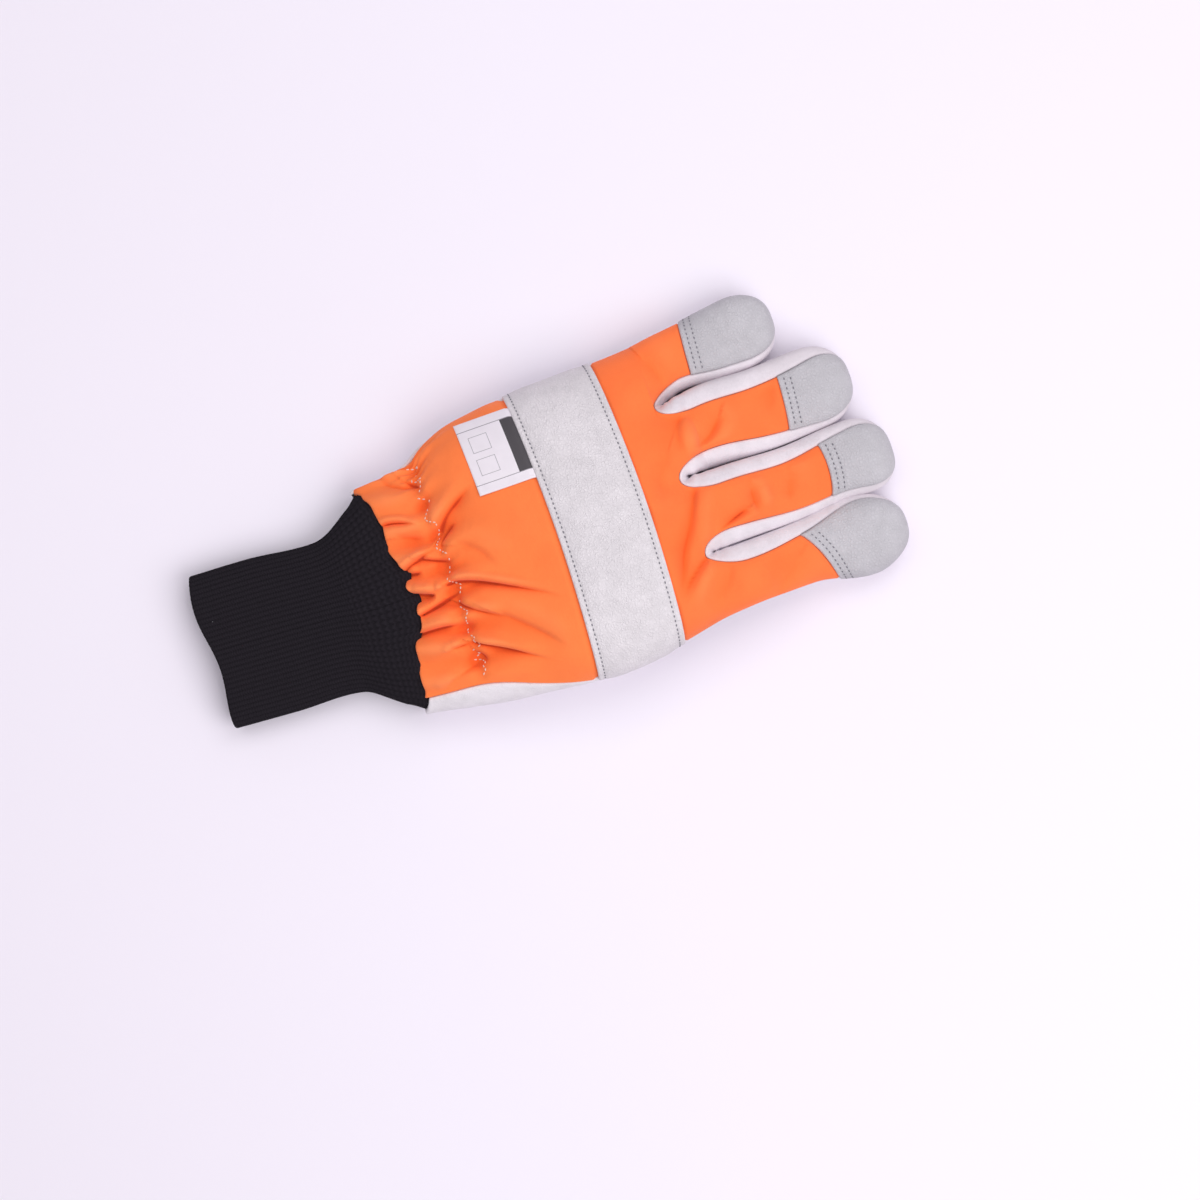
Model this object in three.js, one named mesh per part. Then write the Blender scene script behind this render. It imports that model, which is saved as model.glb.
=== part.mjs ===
// A left-hand forestry work glove, lying back up on a table with its thumb folded under the palm.
// Orange cloth back with an elastic wrist, pale leather knuckle strap, finger caps, finger side
// strips, palm pieces and thumb, a sewn-in label and a black rib-knit cuff. All walls are hollow shells.
// Millimetres. +X runs from wrist to fingertips, +Y to the little-finger side, +Z up from the table.
import * as THREE from "three";

// Overall sizes.
const PALM_WIDTH = 124;
const HAND_LENGTH = 132; // wrist seam's side ends to the finger crotches
const HAND_HEIGHT = 43; // table to the crown of the back
const FINGER_LENGTH = 90; // the middle finger's, from its crotches to its tip
const FINGER_HEIGHT = 20;
const THUMB_HEIGHT = 15.5; // folded thumb, which the palm rides on
const CUFF_LENGTH = 77;
const CUFF_WIDTH = 67;
const CUFF_HEIGHT = 17;

// Wall thicknesses.
const CLOTH = 1.3;
const LEATHER = 1.6;
const KNIT = 2.4;
const LABEL_THICKNESS = 0.6;

// Details.
const STRAP_WIDTH = 39;
const STRAP_TO_CROTCH = 19.5; // the strap's finger-side edge to the finger crotches
const STRAP_BOW = 3.5; // how far the strap's middle leans to the fingers
const WRIST_BOW = 11; // how far the elastic draws the middle of the wrist seam forward
const ELASTIC_BOW = 1.5; // the same at the elastic itself
const STRAP_PROUD = 0.8; // the strap's face above the cloth around it
const CAP_PROUD = 0.5;
const LAP = 5; // cloth that runs on under the strap and the finger caps
const ELASTIC_AT = 27.5; // wrist seam's side ends to the elastic line
const RUFFLE_DEPTH = 1.7;
const RUFFLE_COUNT = 11;
const ELASTIC_GROOVE = 2.2;
const FOLD_DEPTH = 1.5;
const FOLD_WIDTH = 3.6;
const RIB_COUNT = 54;
const RIB_DEPTH = 0.6;
const LABEL_LENGTH = 23.5;
const LABEL_WIDTH = 31.5;
const PALM_BAND_WIDTH = 37;
const PALM_BAND_TO_CROTCH = 8; // the finger-side seam of the band across the palm to the crotches
const FINGERTIP = 18; // length of a finger's rounded end
const CROTCH_ROUND = 16; // length over which a finger parts from its neighbour
const CROTCH_WEB = 5; // how far the side strips' web stands out of a crotch
const SEAM_GAP = 0.5;
const SEAM_MIDDLE = 0.28; // height of the wrist opening's middle, as a share of HAND_HEIGHT
const SEAM_TUCK = 0.012; // how far the knit's end draws in towards that middle
const THUMB_CLEARANCE = 0.8; // between the thumb and the palm above it
const THUMB_PRESS = 1.12; // how far the thumb's underside is pressed flat on the table

// How square the outlines are: 2 is an ellipse, more is flatter with fuller corners.
const BACK_POWER = 2.6;
const PALM_POWER = 4.5;
const FINGER_POWER = 2.5;
const THUMB_POWER = 4;

// Cross-sections of the hand. at is a share of HAND_LENGTH, north and south are the silhouette on the
// little-finger and thumb sides as shares of PALM_WIDTH, and rimNorth, rimSouth and top are the heights
// of the two side seams and of the crown as shares of HAND_HEIGHT. wrap is how far round from the crown to
// the side the cloth back comes on the thumb side.
const HAND = [
  { at: -0.1, north: 0.366, south: -0.42, rimNorth: 0.26, rimSouth: 0.29, top: 0.55, wrap: 0.6 },
  { at: 0.0, north: 0.371, south: -0.428, rimNorth: 0.26, rimSouth: 0.3, top: 0.57, wrap: 0.6 },
  { at: 0.19, north: 0.388, south: -0.464, rimNorth: 0.25, rimSouth: 0.38, top: 0.71, wrap: 0.56 },
  { at: 0.28, north: 0.44, south: -0.48, rimNorth: 0.25, rimSouth: 0.42, top: 0.8, wrap: 0.59 },
  { at: 0.38, north: 0.478, south: -0.49, rimNorth: 0.25, rimSouth: 0.46, top: 0.88, wrap: 0.68 },
  { at: 0.56, north: 0.5, south: -0.508, rimNorth: 0.26, rimSouth: 0.52, top: 0.98, wrap: 0.85 },
  { at: 0.72, north: 0.506, south: -0.502, rimNorth: 0.26, rimSouth: 0.54, top: 1.0, wrap: 0.96 },
  { at: 0.86, north: 0.512, south: -0.478, rimNorth: 0.26, rimSouth: 0.53, top: 0.96, wrap: 1 },
  { at: 1.0, north: 0.524, south: -0.448, rimNorth: 0.24, rimSouth: 0.51, top: 0.86, wrap: 1 },
  { at: 1.15, north: 0.542, south: -0.434, rimNorth: 0.22, rimSouth: 0.46, top: 0.76, wrap: 1 },
];

// Where the three finger crotches lie across the hand, as shares of PALM_WIDTH.
const CROTCHES = [0.298, 0.038, -0.226];
const CROTCH_DIP = 4.5;
const CROTCH_DIP_WIDTH = 7;

// Fingers from the little finger to the index. long and round are shares of FINGER_LENGTH and
// FINGERTIP, and capNorth, capMiddle and capSouth are where the leather cap starts, as shares of the
// finger's length. In the sections, at is a share of the length, north and south are shares of
// PALM_WIDTH, tall is a share of FINGER_HEIGHT, and backNorth and backSouth are how much of the half
// width the back covers.
const FINGERS = [
  {
    name: "little", long: 0.667, round: 1, capNorth: 0.367, capMiddle: 0.34, capSouth: 0.325,
    sections: [
      { at: 0.0, north: 0.524, south: 0.303, tall: 1.05, backNorth: 1, backSouth: 0.72 },
      { at: 0.25, north: 0.541, south: 0.332, tall: 0.98, backNorth: 1, backSouth: 0.71 },
      { at: 0.5, north: 0.56, south: 0.326, tall: 0.95, backNorth: 1, backSouth: 0.77 },
      { at: 0.75, north: 0.576, south: 0.33, tall: 0.92, backNorth: 1, backSouth: 0.84 },
      { at: 1.0, north: 0.58, south: 0.34, tall: 0.88, backNorth: 1, backSouth: 0.97 },
    ],
  },
  {
    name: "ring", long: 0.924, round: 1, capNorth: 0.64, capMiddle: 0.63, capSouth: 0.614,
    sections: [
      { at: 0.0, north: 0.294, south: 0.045, tall: 0.98, backNorth: 0.56, backSouth: 0.6 },
      { at: 0.25, north: 0.323, south: 0.045, tall: 0.95, backNorth: 0.54, backSouth: 0.58 },
      { at: 0.5, north: 0.321, south: 0.042, tall: 0.95, backNorth: 0.55, backSouth: 0.7 },
      { at: 0.75, north: 0.33, south: 0.056, tall: 0.93, backNorth: 0.62, backSouth: 0.88 },
      { at: 1.0, north: 0.322, south: 0.064, tall: 0.9, backNorth: 0.97, backSouth: 0.97 },
    ],
  },
  {
    name: "middle", long: 1, round: 0.89, capNorth: 0.668, capMiddle: 0.679, capSouth: 0.656,
    sections: [
      { at: 0.0, north: 0.034, south: -0.222, tall: 0.98, backNorth: 0.6, backSouth: 0.56 },
      { at: 0.25, north: 0.036, south: -0.217, tall: 0.95, backNorth: 0.62, backSouth: 0.66 },
      { at: 0.5, north: 0.033, south: -0.213, tall: 0.95, backNorth: 0.6, backSouth: 0.78 },
      { at: 0.75, north: 0.046, south: -0.195, tall: 0.93, backNorth: 0.74, backSouth: 0.86 },
      { at: 1.0, north: 0.046, south: -0.216, tall: 0.9, backNorth: 0.97, backSouth: 0.97 },
    ],
  },
  {
    name: "index", long: 0.954, round: 1.06, capNorth: 0.478, capMiddle: 0.564, capSouth: 0.6,
    sections: [
      { at: 0.0, north: -0.23, south: -0.448, tall: 0.98, backNorth: 0.6, backSouth: 1 },
      { at: 0.25, north: -0.225, south: -0.434, tall: 0.95, backNorth: 0.43, backSouth: 1 },
      { at: 0.5, north: -0.22, south: -0.435, tall: 0.95, backNorth: 0.62, backSouth: 1 },
      { at: 0.75, north: -0.203, south: -0.47, tall: 0.95, backNorth: 0.9, backSouth: 1 },
      { at: 1.0, north: -0.222, south: -0.45, tall: 0.9, backNorth: 0.97, backSouth: 1 },
    ],
  },
];
const PALM_SIDE_COVER = 0.8; // how much of a finger's half width its palm leather covers beside a neighbour

// The folded thumb's outline seen from above. at is a share of HAND_LENGTH for the x columns and of
// PALM_WIDTH for the y columns, open is how much of the half width is left open towards the palm, and
// plump is the section's height as a share of the room under the palm.
const THUMB = [
  { southX: 0.006, southY: -0.4, northX: 0.006, northY: -0.08, open: 0.96, plump: 1 },
  { southX: 0.15, southY: -0.435, northX: 0.15, northY: -0.068, open: 0.9, plump: 1 },
  { southX: 0.34, southY: -0.468, northX: 0.34, northY: -0.024, open: 0.84, plump: 1 },
  { southX: 0.53, southY: -0.485, northX: 0.53, northY: 0.012, open: 0.8, plump: 1 },
  { southX: 0.69, southY: -0.478, northX: 0.66, northY: 0.036, open: 0.45, plump: 1 },
  { southX: 0.8, southY: -0.395, northX: 0.72, northY: 0.052, open: 0.02, plump: 1 },
  { southX: 0.9, southY: -0.295, northX: 0.79, northY: 0.07, open: 0.02, plump: 1 },
  { southX: 0.99, southY: -0.205, northX: 0.87, northY: 0.084, open: 0.02, plump: 1 },
  { southX: 1.05, southY: -0.14, northX: 0.95, northY: 0.094, open: 0.02, plump: 0.93 },
  { southX: 1.085, southY: -0.082, northX: 1.02, northY: 0.088, open: 0.03, plump: 0.74 },
  { southX: 1.102, southY: -0.036, northX: 1.07, northY: 0.062, open: 0.05, plump: 0.45 },
  { southX: 1.108, southY: -0.004, northX: 1.098, northY: 0.03, open: 0.12, plump: 0.08 },
];

// Creases pressed into the cloth back. The ends are shares of HAND_LENGTH and PALM_WIDTH, and depth
// and width are shares of FOLD_DEPTH and FOLD_WIDTH.
const FOLDS = [
  { fromX: 0.06, fromY: 0.226, toX: 0.18, toY: 0.19, depth: 0.9, width: 0.9 },
  { fromX: 0.24, fromY: 0.145, toX: 0.4, toY: 0.266, depth: 1, width: 1 },
  { fromX: 0.09, fromY: 0.03, toX: 0.2, toY: 0.07, depth: 0.8, width: 0.8 },
  { fromX: 0.085, fromY: -0.04, toX: 0.17, toY: -0.06, depth: 1, width: 0.9 },
  { fromX: 0.21, fromY: -0.04, toX: 0.55, toY: -0.255, depth: 1, width: 1.2 },
  { fromX: 0.06, fromY: -0.176, toX: 0.19, toY: -0.17, depth: 0.8, width: 0.9 },
  { fromX: 0.22, fromY: -0.25, toX: 0.5, toY: -0.4, depth: 1, width: 1.2 },
  { fromX: 0.22, fromY: 0.09, toX: 0.42, toY: 0.04, depth: 0.6, width: 1.3 },
  { fromX: 0.99, fromY: -0.25, toX: 0.9, toY: -0.33, depth: 0.7, width: 1.1 },
  { fromX: 1.0, fromY: -0.03, toX: 0.95, toY: -0.24, depth: 0.7, width: 1.3 },
  { fromX: 0.98, fromY: 0.33, toX: 0.94, toY: 0.46, depth: 0.6, width: 1.3 },
  { fromX: 1.0, fromY: 0.1, toX: 0.93, toY: 0.19, depth: 0.6, width: 1.3 },
];

// Cross-sections of the knit cuff. at is a share of CUFF_LENGTH from the open end, width and middle are
// shares of CUFF_WIDTH, and top is a share of CUFF_HEIGHT. The last section is the wrist seam itself.
const CUFF = [
  { at: 0.0, width: 1.0, middle: 0.01, top: 1.0 },
  { at: 0.35, width: 1.01, middle: -0.01, top: 1.02 },
  { at: 0.72, width: 0.99, middle: -0.04, top: 1.15 },
  { at: 0.87, width: 1.16, middle: -0.07, top: 1.3 },
];

// Grid counts.
const BACK_CELLS = 6; // across one finger's share of the back and palm
const WRIST_CELLS = 44;
const STRIP_CELLS = 3;
const THUMB_CELLS = 20;
const CLOTH_ROWS = [0, 0.05, 0.13, 0.27, 0.5, 0.75, 1];
const CAP_ROWS = [0.22, 0.45, 0.66, 0.82, 0.93, 1];

const DEGREE = Math.PI / 180;
const SIDE = 90 * DEGREE;
const RIGHT = new THREE.Vector3(1, 0, 0);

const STRAP_AT = HAND_LENGTH - STRAP_TO_CROTCH - STRAP_WIDTH;
const PALM_BAND_AT = HAND_LENGTH - PALM_BAND_TO_CROTCH - PALM_BAND_WIDTH;

const mix = THREE.MathUtils.lerp;
const smooth = (value, low, high) => THREE.MathUtils.smoothstep(value, low, high);
const span = (count) => Array.from({ length: count + 1 }, (_, i) => i / count);
const mixed = (a, b, share) => a.clone().lerp(b, share);

// Value of a table's column on a smooth curve through its rows, at a place along another column.
function along(table, column, at, key = "at") {
  let i = table.findIndex((row) => row[key] > at) - 1;
  if (i === -2) i = table.length - 2;
  i = Math.max(0, Math.min(table.length - 2, i));
  const slope = (k) => {
    const before = table[Math.max(0, k - 1)];
    const after = table[Math.min(table.length - 1, k + 1)];
    return (after[column] - before[column]) / (after[key] - before[key]);
  };
  const step = table[i + 1][key] - table[i][key];
  const t = Math.max(0, Math.min(1, (at - table[i][key]) / step));
  const curve =
    (1 + 2 * t) * (1 - t) ** 2 * table[i][column] +
    t * (1 - t) ** 2 * step * slope(i) +
    t * t * (3 - 2 * t) * table[i + 1][column] +
    t * t * (t - 1) * step * slope(i + 1);
  return curve;
}

// Superellipses by the angle from their crown: the radius, and the angle that reaches a share of the
// half width.
function roundness(angle, power) {
  return (Math.abs(Math.sin(angle)) ** power + Math.abs(Math.cos(angle)) ** power) ** (-1 / power);
}
function angleAt(share, power) {
  const side = Math.min(1, Math.abs(share));
  return Math.sign(share) * Math.atan2(side, (1 - side ** power) ** (1 / power));
}

// Outward normal of a surface given by two numbers.
function normalOf(surface, a, b, stepA, stepB, facing) {
  const alongA = surface(a + stepA, b).sub(surface(a - stepA, b));
  const alongB = surface(a, b + stepB).sub(surface(a, b - stepB));
  return alongA.cross(alongB).multiplyScalar(facing).normalize();
}

// The thumb's inner edge seen from above, which the palm drapes down beyond.
const thumbEdge = (x) => PALM_WIDTH * along(THUMB, "northY", x / HAND_LENGTH, "northX");

// Height of the palm side above the table: raised where the thumb lies under it.
function underside(x, y) {
  const atWrist = mix(0.3, 1, smooth(x, 0, 0.32 * HAND_LENGTH));
  const pastTip = 1 - smooth(x, 1.06 * HAND_LENGTH, 1.42 * HAND_LENGTH);
  const edge = thumbEdge(x);
  const beside = 1 - smooth(y, edge + 0.03 * PALM_WIDTH, edge + 0.27 * PALM_WIDTH);
  return (THUMB_HEIGHT + THUMB_CLEARANCE) * atWrist * pastTip * beside;
}

function handSection(x) {
  const at = x / HAND_LENGTH;
  const north = PALM_WIDTH * along(HAND, "north", at);
  const south = PALM_WIDTH * along(HAND, "south", at);
  return {
    middle: (north + south) / 2,
    half: (north - south) / 2,
    rimNorth: HAND_HEIGHT * along(HAND, "rimNorth", at),
    rimSouth: HAND_HEIGHT * along(HAND, "rimSouth", at),
    top: HAND_HEIGHT * along(HAND, "top", at),
  };
}

// The back of the hand: angle 0 is its crown and +90 degrees the little-finger side.
function handTop(x, angle) {
  const s = handSection(x);
  const r = roundness(angle, BACK_POWER);
  const across = r * Math.sin(angle);
  const y = s.middle + s.half * across;
  const rim = mix(s.rimSouth, s.rimNorth, (across + 1) / 2);
  const crown = s.top - (s.rimNorth + s.rimSouth) / 2;
  const away = (c) => (y - c * PALM_WIDTH) / CROTCH_DIP_WIDTH;
  const dip = CROTCHES.reduce((sum, c) => sum + Math.exp(-(away(c) ** 2)), 0);
  const parting = CROTCH_DIP * dip * smooth(x, 0.88 * HAND_LENGTH, HAND_LENGTH);
  return new THREE.Vector3(x, y, rim + crown * r * Math.cos(angle) - parting);
}

// The palm side: angle 0 is the middle of the palm and +90 degrees the little-finger side.
function handUnder(x, angle) {
  const s = handSection(x);
  const r = roundness(angle, PALM_POWER);
  const across = r * Math.sin(angle);
  const y = s.middle + s.half * across;
  const rim = mix(s.rimSouth, s.rimNorth, (across + 1) / 2);
  return new THREE.Vector3(x, y, rim - (rim - underside(x, y)) * r * Math.cos(angle));
}

// A finger by its reach, 0 at the crotch and 1 at the tip, and the angle round it from the top.
const lengthOf = (f) => f.long * FINGER_LENGTH;
const tipOf = (f) => f.round * FINGERTIP;
const straightShare = (f) => {
  const straight = lengthOf(f) - tipOf(f);
  return straight / (straight + (tipOf(f) * Math.PI) / 2);
};
function fingerRound(f, reach, angle) {
  const straight = straightShare(f);
  const turn = Math.max(0, (reach - straight) / (1 - straight)) * 89.3 * DEGREE;
  const body = lengthOf(f) - tipOf(f);
  const distance = body * Math.min(1, reach / straight) + tipOf(f) * Math.sin(turn);
  const at = distance / lengthOf(f);
  const x = HAND_LENGTH + distance;
  const north = PALM_WIDTH * along(f.sections, "north", at);
  const south = PALM_WIDTH * along(f.sections, "south", at);
  const closing = Math.cos(turn) ** 0.8;
  const middle = (north + south) / 2;
  const half = ((north - south) / 2) * Math.max(0.1, closing);
  const low = underside(x, middle);
  const tall = FINGER_HEIGHT * along(f.sections, "tall", at);
  const rim = low + 0.46 * tall;
  const r = roundness(angle, FINGER_POWER);
  const rise = Math.cos(angle) > 0 ? 0.54 * tall : 0.46 * tall;
  const z = rim + rise * closing * r * Math.cos(angle);
  return new THREE.Vector3(x, middle + half * r * Math.sin(angle), z);
}
const fingerNormal = (f, reach, angle) =>
  normalOf((a, b) => fingerRound(f, a, b), Math.min(0.995, reach), angle, 0.004, 0.01, 1);

// How far round each side of a finger the back leather or cloth comes, as angles from the top.
function backEdges(f, reach) {
  const at = distanceOf(f, reach) / lengthOf(f);
  const north = angleAt(along(f.sections, "backNorth", at), FINGER_POWER);
  const south = -angleAt(along(f.sections, "backSouth", at), FINGER_POWER);
  return { north, south };
}
function distanceOf(f, reach) {
  return fingerRound(f, reach, 0).x - HAND_LENGTH;
}

// Angles across the hand that split it into the four fingers' shares, on the back and on the palm.
const atCrotch = handSection(HAND_LENGTH);
const crotchShares = CROTCHES.map((c) => (c * PALM_WIDTH - atCrotch.middle) / atCrotch.half);
const backSplits = [SIDE, ...crotchShares.map((s) => angleAt(s, BACK_POWER)), -SIDE];
const palmSplits = [SIDE, ...crotchShares.map((s) => angleAt(s, PALM_POWER)), -SIDE];

// How far a finger has become its own tube, this many millimetres past the crotch.
function parted(distance) {
  const share = Math.min(1, Math.max(0, distance) / CROTCH_ROUND);
  return Math.sqrt(1 - (1 - share) ** 2);
}

// One place on the glove: its outer point and outward normal, moved along the normal by a lift.
function place(point, normal, lift = 0) {
  return { point: point.addScaledVector(normal, lift), normal };
}

// The back over the hand, and over finger number i, t running from its little-finger side to its thumb side.
function backOfHand(x, angle, lift = 0) {
  return place(handTop(x, angle), normalOf(handTop, x, angle, 0.5, 0.01, 1), lift);
}
function backOfFinger(i, reach, t, lift = 0) {
  const f = FINGERS[i];
  const distance = distanceOf(f, reach);
  const handAngle = inset(backSplits[i], backSplits[i + 1], t, atCrotch.top / 2, i === 0, i === 3);
  const edges = backEdges(f, reach);
  const angle = inset(edges.north, edges.south, t, FINGER_HEIGHT / 2, true, true);
  const share = parted(distance);
  const hand = backOfHand(HAND_LENGTH + distance, handAngle);
  const normal = mixed(hand.normal, fingerNormal(f, reach, angle), share).normalize();
  return place(mixed(hand.point, fingerRound(f, reach, angle), share), normal, lift);
}

// An angle part of the way from one edge to the other, with each open edge drawn in by half a seam gap.
function inset(from, to, t, radius, trimFrom, trimTo) {
  const trim = SEAM_GAP / 2 / radius;
  return mix(from - (trimFrom ? trim : 0), to + (trimTo ? trim : 0), t);
}

// The palm side in the same two parts. Angles are measured from the bottom, and past -90 degrees they
// go on up the thumb side to the edge of the cloth.
function palmOfHand(x, angle) {
  if (angle < -SIDE) return backOfHand(bowedX(x, -Math.PI - angle), -Math.PI - angle);
  return place(handUnder(x, angle), normalOf(handUnder, x, angle, 0.5, 0.01, -1));
}
function palmEdges(f, i) {
  const cover = angleAt(PALM_SIDE_COVER, FINGER_POWER);
  return { north: i === 0 ? SIDE : cover, south: i === 3 ? -SIDE : -cover };
}
function palmOfFinger(i, reach, t, shareOf = parted) {
  const f = FINGERS[i];
  const distance = distanceOf(f, reach);
  const handAngle = inset(palmSplits[i], palmSplits[i + 1], t, atCrotch.top / 2, i === 0, i === 3);
  const edges = palmEdges(f, i);
  const angle = inset(edges.north, edges.south, t, FINGER_HEIGHT / 2, true, true);
  const round = Math.PI - angle;
  const share = shareOf(distance);
  const hand = palmOfHand(HAND_LENGTH + distance, handAngle);
  const normal = mixed(hand.normal, fingerNormal(f, reach, round), share).normalize();
  return place(mixed(hand.point, fingerRound(f, reach, round), share), normal);
}

// Reach of a row of a finger's grid. Rows up to the cap follow the cap's slanted edge.
function rowReach(i, row, t) {
  const f = FINGERS[i];
  const near = mix(f.capNorth, f.capSouth, t);
  const cap = near + (f.capMiddle - (f.capNorth + f.capSouth) / 2) * 4 * t * (1 - t);
  const straight = straightShare(f);
  const capReach = (cap * lengthOf(f) * straight) / (lengthOf(f) - tipOf(f));
  if (row < CLOTH_ROWS.length) return capReach * CLOTH_ROWS[row];
  return mix(capReach, 1, CAP_ROWS[row - CLOTH_ROWS.length]);
}
const CAP_ROW = CLOTH_ROWS.length - 1;
const LAST_ROW = CLOTH_ROWS.length + CAP_ROWS.length - 1;

// A closed solid from a sheet of quads. Each vertex has an outer place, and the wall grows inwards.
function shell(name, material, thickness, places, quads) {
  const inner = places.map((p) => p.point.clone().addScaledVector(p.normal, -thickness));
  const points = [...places.map((p) => p.point), ...inner];
  const below = places.length;
  const faces = [];
  const edges = new Map();
  for (const quad of quads) {
    const [a, b, c, d] = quad;
    faces.push(a, b, c, a, c, d);
    faces.push(below + a, below + c, below + b, below + a, below + d, below + c);
    quad.forEach((from, k) => {
      const to = quad[(k + 1) % 4];
      if (!edges.delete(`${to},${from}`)) edges.set(`${from},${to}`, [from, to]);
    });
  }
  for (const [from, to] of edges.values()) {
    faces.push(to, from, below + from, to, below + from, below + to);
  }
  return solidMesh(name, material, points, faces);
}

function solidMesh(name, material, points, faces) {
  let volume = 0;
  for (let i = 0; i < faces.length; i += 3) {
    const [a, b, c] = [points[faces[i]], points[faces[i + 1]], points[faces[i + 2]]];
    volume += a.dot(b.clone().cross(c));
  }
  const index = volume < 0 ? faces.slice().reverse() : faces;
  const geometry = new THREE.BufferGeometry().setFromPoints(points).setIndex(index);
  geometry.computeVertexNormals();
  const mesh = new THREE.Mesh(geometry, material);
  mesh.name = name;
  return mesh;
}

// A sheet from a plain grid of places, with cells left out where keep says no.
function gridShell(name, material, thickness, rows, keep = () => true) {
  const columns = rows[0].length;
  const quads = [];
  for (let i = 0; i + 1 < rows.length; i++) {
    for (let j = 0; j + 1 < columns; j++) {
      const a = i * columns + j;
      if (keep(i, j)) quads.push([a, a + 1, a + columns + 1, a + columns]);
    }
  }
  const used = [...new Set(quads.flat())];
  const number = new Map(used.map((old, k) => [old, k]));
  const places = rows.flat();
  return shell(
    name, material, thickness, used.map((old) => places[old]),
    quads.map((quad) => quad.map((old) => number.get(old))),
  );
}

// A sheet that starts as rows across the hand and goes on into some of the fingers.
function combShell(name, material, thickness, handRows, fingerRows) {
  const places = [];
  const quads = [];
  const add = (rows, first) => {
    let before = first;
    for (const row of rows) {
      const numbers = row.map((p) => places.push(p) - 1);
      if (before) {
        for (let j = 0; j + 1 < row.length; j++) {
          quads.push([before[j], before[j + 1], numbers[j + 1], numbers[j]]);
        }
      }
      before = numbers;
    }
    return before;
  };
  const last = add(handRows, null);
  for (const [i, rows] of fingerRows) {
    add(rows, last.slice(i * BACK_CELLS, (i + 1) * BACK_CELLS + 1));
  }
  return shell(name, material, thickness, places, quads);
}

const orangeCloth = new THREE.MeshStandardMaterial({ color: 0xf96a2a, roughness: 0.85, metalness: 0 });
const paleLeather = new THREE.MeshStandardMaterial({ color: 0xd9d8da, roughness: 0.6, metalness: 0 });
const blackKnit = new THREE.MeshStandardMaterial({ color: 0x17161a, roughness: 0.95, metalness: 0 });
const labelTape = new THREE.MeshStandardMaterial({ color: 0xf4f2f4, roughness: 0.5, metalness: 0 });

// Depth of the creases and of the ruffles that the elastic draws up, as a lift along the normal.
function foldLift(x, y) {
  return FOLDS.reduce((sum, fold) => {
    const ax = fold.fromX * HAND_LENGTH;
    const ay = fold.fromY * PALM_WIDTH;
    const dx = fold.toX * HAND_LENGTH - ax;
    const dy = fold.toY * PALM_WIDTH - ay;
    const t = Math.max(0, Math.min(1, ((x - ax) * dx + (y - ay) * dy) / (dx * dx + dy * dy)));
    const away = Math.hypot(x - ax - t * dx, y - ay - t * dy);
    return sum - FOLD_DEPTH * fold.depth * Math.exp(-((away / (FOLD_WIDTH * fold.width)) ** 2));
  }, 0);
}
function ruffleLift(x, angle) {
  const fromElastic = (x - ELASTIC_AT) / HAND_LENGTH;
  const spread = fromElastic > 0 ? 0.14 : 0.3;
  const strength = Math.exp(-((fromElastic / spread) ** 2));
  const wave = Math.cos(2 * RUFFLE_COUNT * angle + 1.4 * Math.sin(3 * angle) + 9 * fromElastic);
  const groove = ELASTIC_GROOVE * Math.exp(-((fromElastic / 0.022) ** 2));
  return RUFFLE_DEPTH * strength * (wave - 0.4) - groove;
}

// Where a row across the back lies: rows bow forward by an amount that runs from the wrist seam's bow
// to the strap's and on to none at the crotches.
const strapEnd = STRAP_AT + STRAP_WIDTH;
function bowedX(x, angle) {
  const bow =
    x < ELASTIC_AT
      ? mix(WRIST_BOW, ELASTIC_BOW, Math.max(0, x) / ELASTIC_AT)
      : x < STRAP_AT
        ? mix(ELASTIC_BOW, STRAP_BOW, (x - ELASTIC_AT) / (STRAP_AT - ELASTIC_AT))
        : mix(STRAP_BOW, 0, smooth(x, strapEnd, HAND_LENGTH));
  return x + bow * Math.cos(angle) ** 2;
}

// Angle at the cloth's edge on the thumb side, where the leather comes up over the side.
function southAngle(x) {
  return -SIDE * Math.min(1, along(HAND, "wrap", x / HAND_LENGTH));
}
function backRow(x, cells, liftAt) {
  return span(cells).map((t) => {
    const angle = inset(SIDE, southAngle(x), t, atCrotch.top / 2, true, true);
    const bowed = bowedX(x, angle);
    return backOfHand(bowed, angle, liftAt(bowed, angle, t));
  });
}

// The cloth's depth where it is tucked under strap or cap leather of a given proudness.
const tucked = (proud) => proud - LEATHER - SEAM_GAP;

// Cloth between the cuff and the strap, ruffled on its elastic line.
function backWristCloth() {
  const stops = [0, 0.08, 0.16, 0.24, 0.31, 0.37, 0.44, 0.54, 0.67, 0.82, 0.94, 1];
  const rows = stops.map((stop) =>
    backRow(stop * STRAP_AT, WRIST_CELLS, (x, angle, t) => {
      const fromEdge = smooth(Math.min(t, 1 - t), 0, 0.07) * (1 - smooth(stop, 0.85, 1));
      const y = handTop(x, angle).y;
      const lift = fromEdge * (ruffleLift(x, angle) + foldLift(x, y));
      return mix(lift, tucked(STRAP_PROUD), smooth(stop, 0.93, 1));
    }),
  );
  rows.push(backRow(STRAP_AT + LAP, WRIST_CELLS, () => tucked(STRAP_PROUD)));
  return gridShell("back_wrist_cloth", orangeCloth, CLOTH, rows);
}

// Angles across the hand that follow the four fingers' shares.
function fingerAngles(splits) {
  const angles = [];
  for (let i = 0; i < 4; i++) {
    for (const t of span(BACK_CELLS)) {
      if (t > 0 || i === 0) {
        angles.push(inset(splits[i], splits[i + 1], t, atCrotch.top / 2, i === 0, i === 3));
      }
    }
  }
  return angles;
}

function knuckleStrap() {
  const rows = span(4).map((stop) => {
    const x = STRAP_AT + stop * STRAP_WIDTH;
    return backRow(x, 4 * BACK_CELLS + 4, () => STRAP_PROUD);
  });
  return gridShell("knuckle_strap", paleLeather, LEATHER, rows);
}

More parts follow.
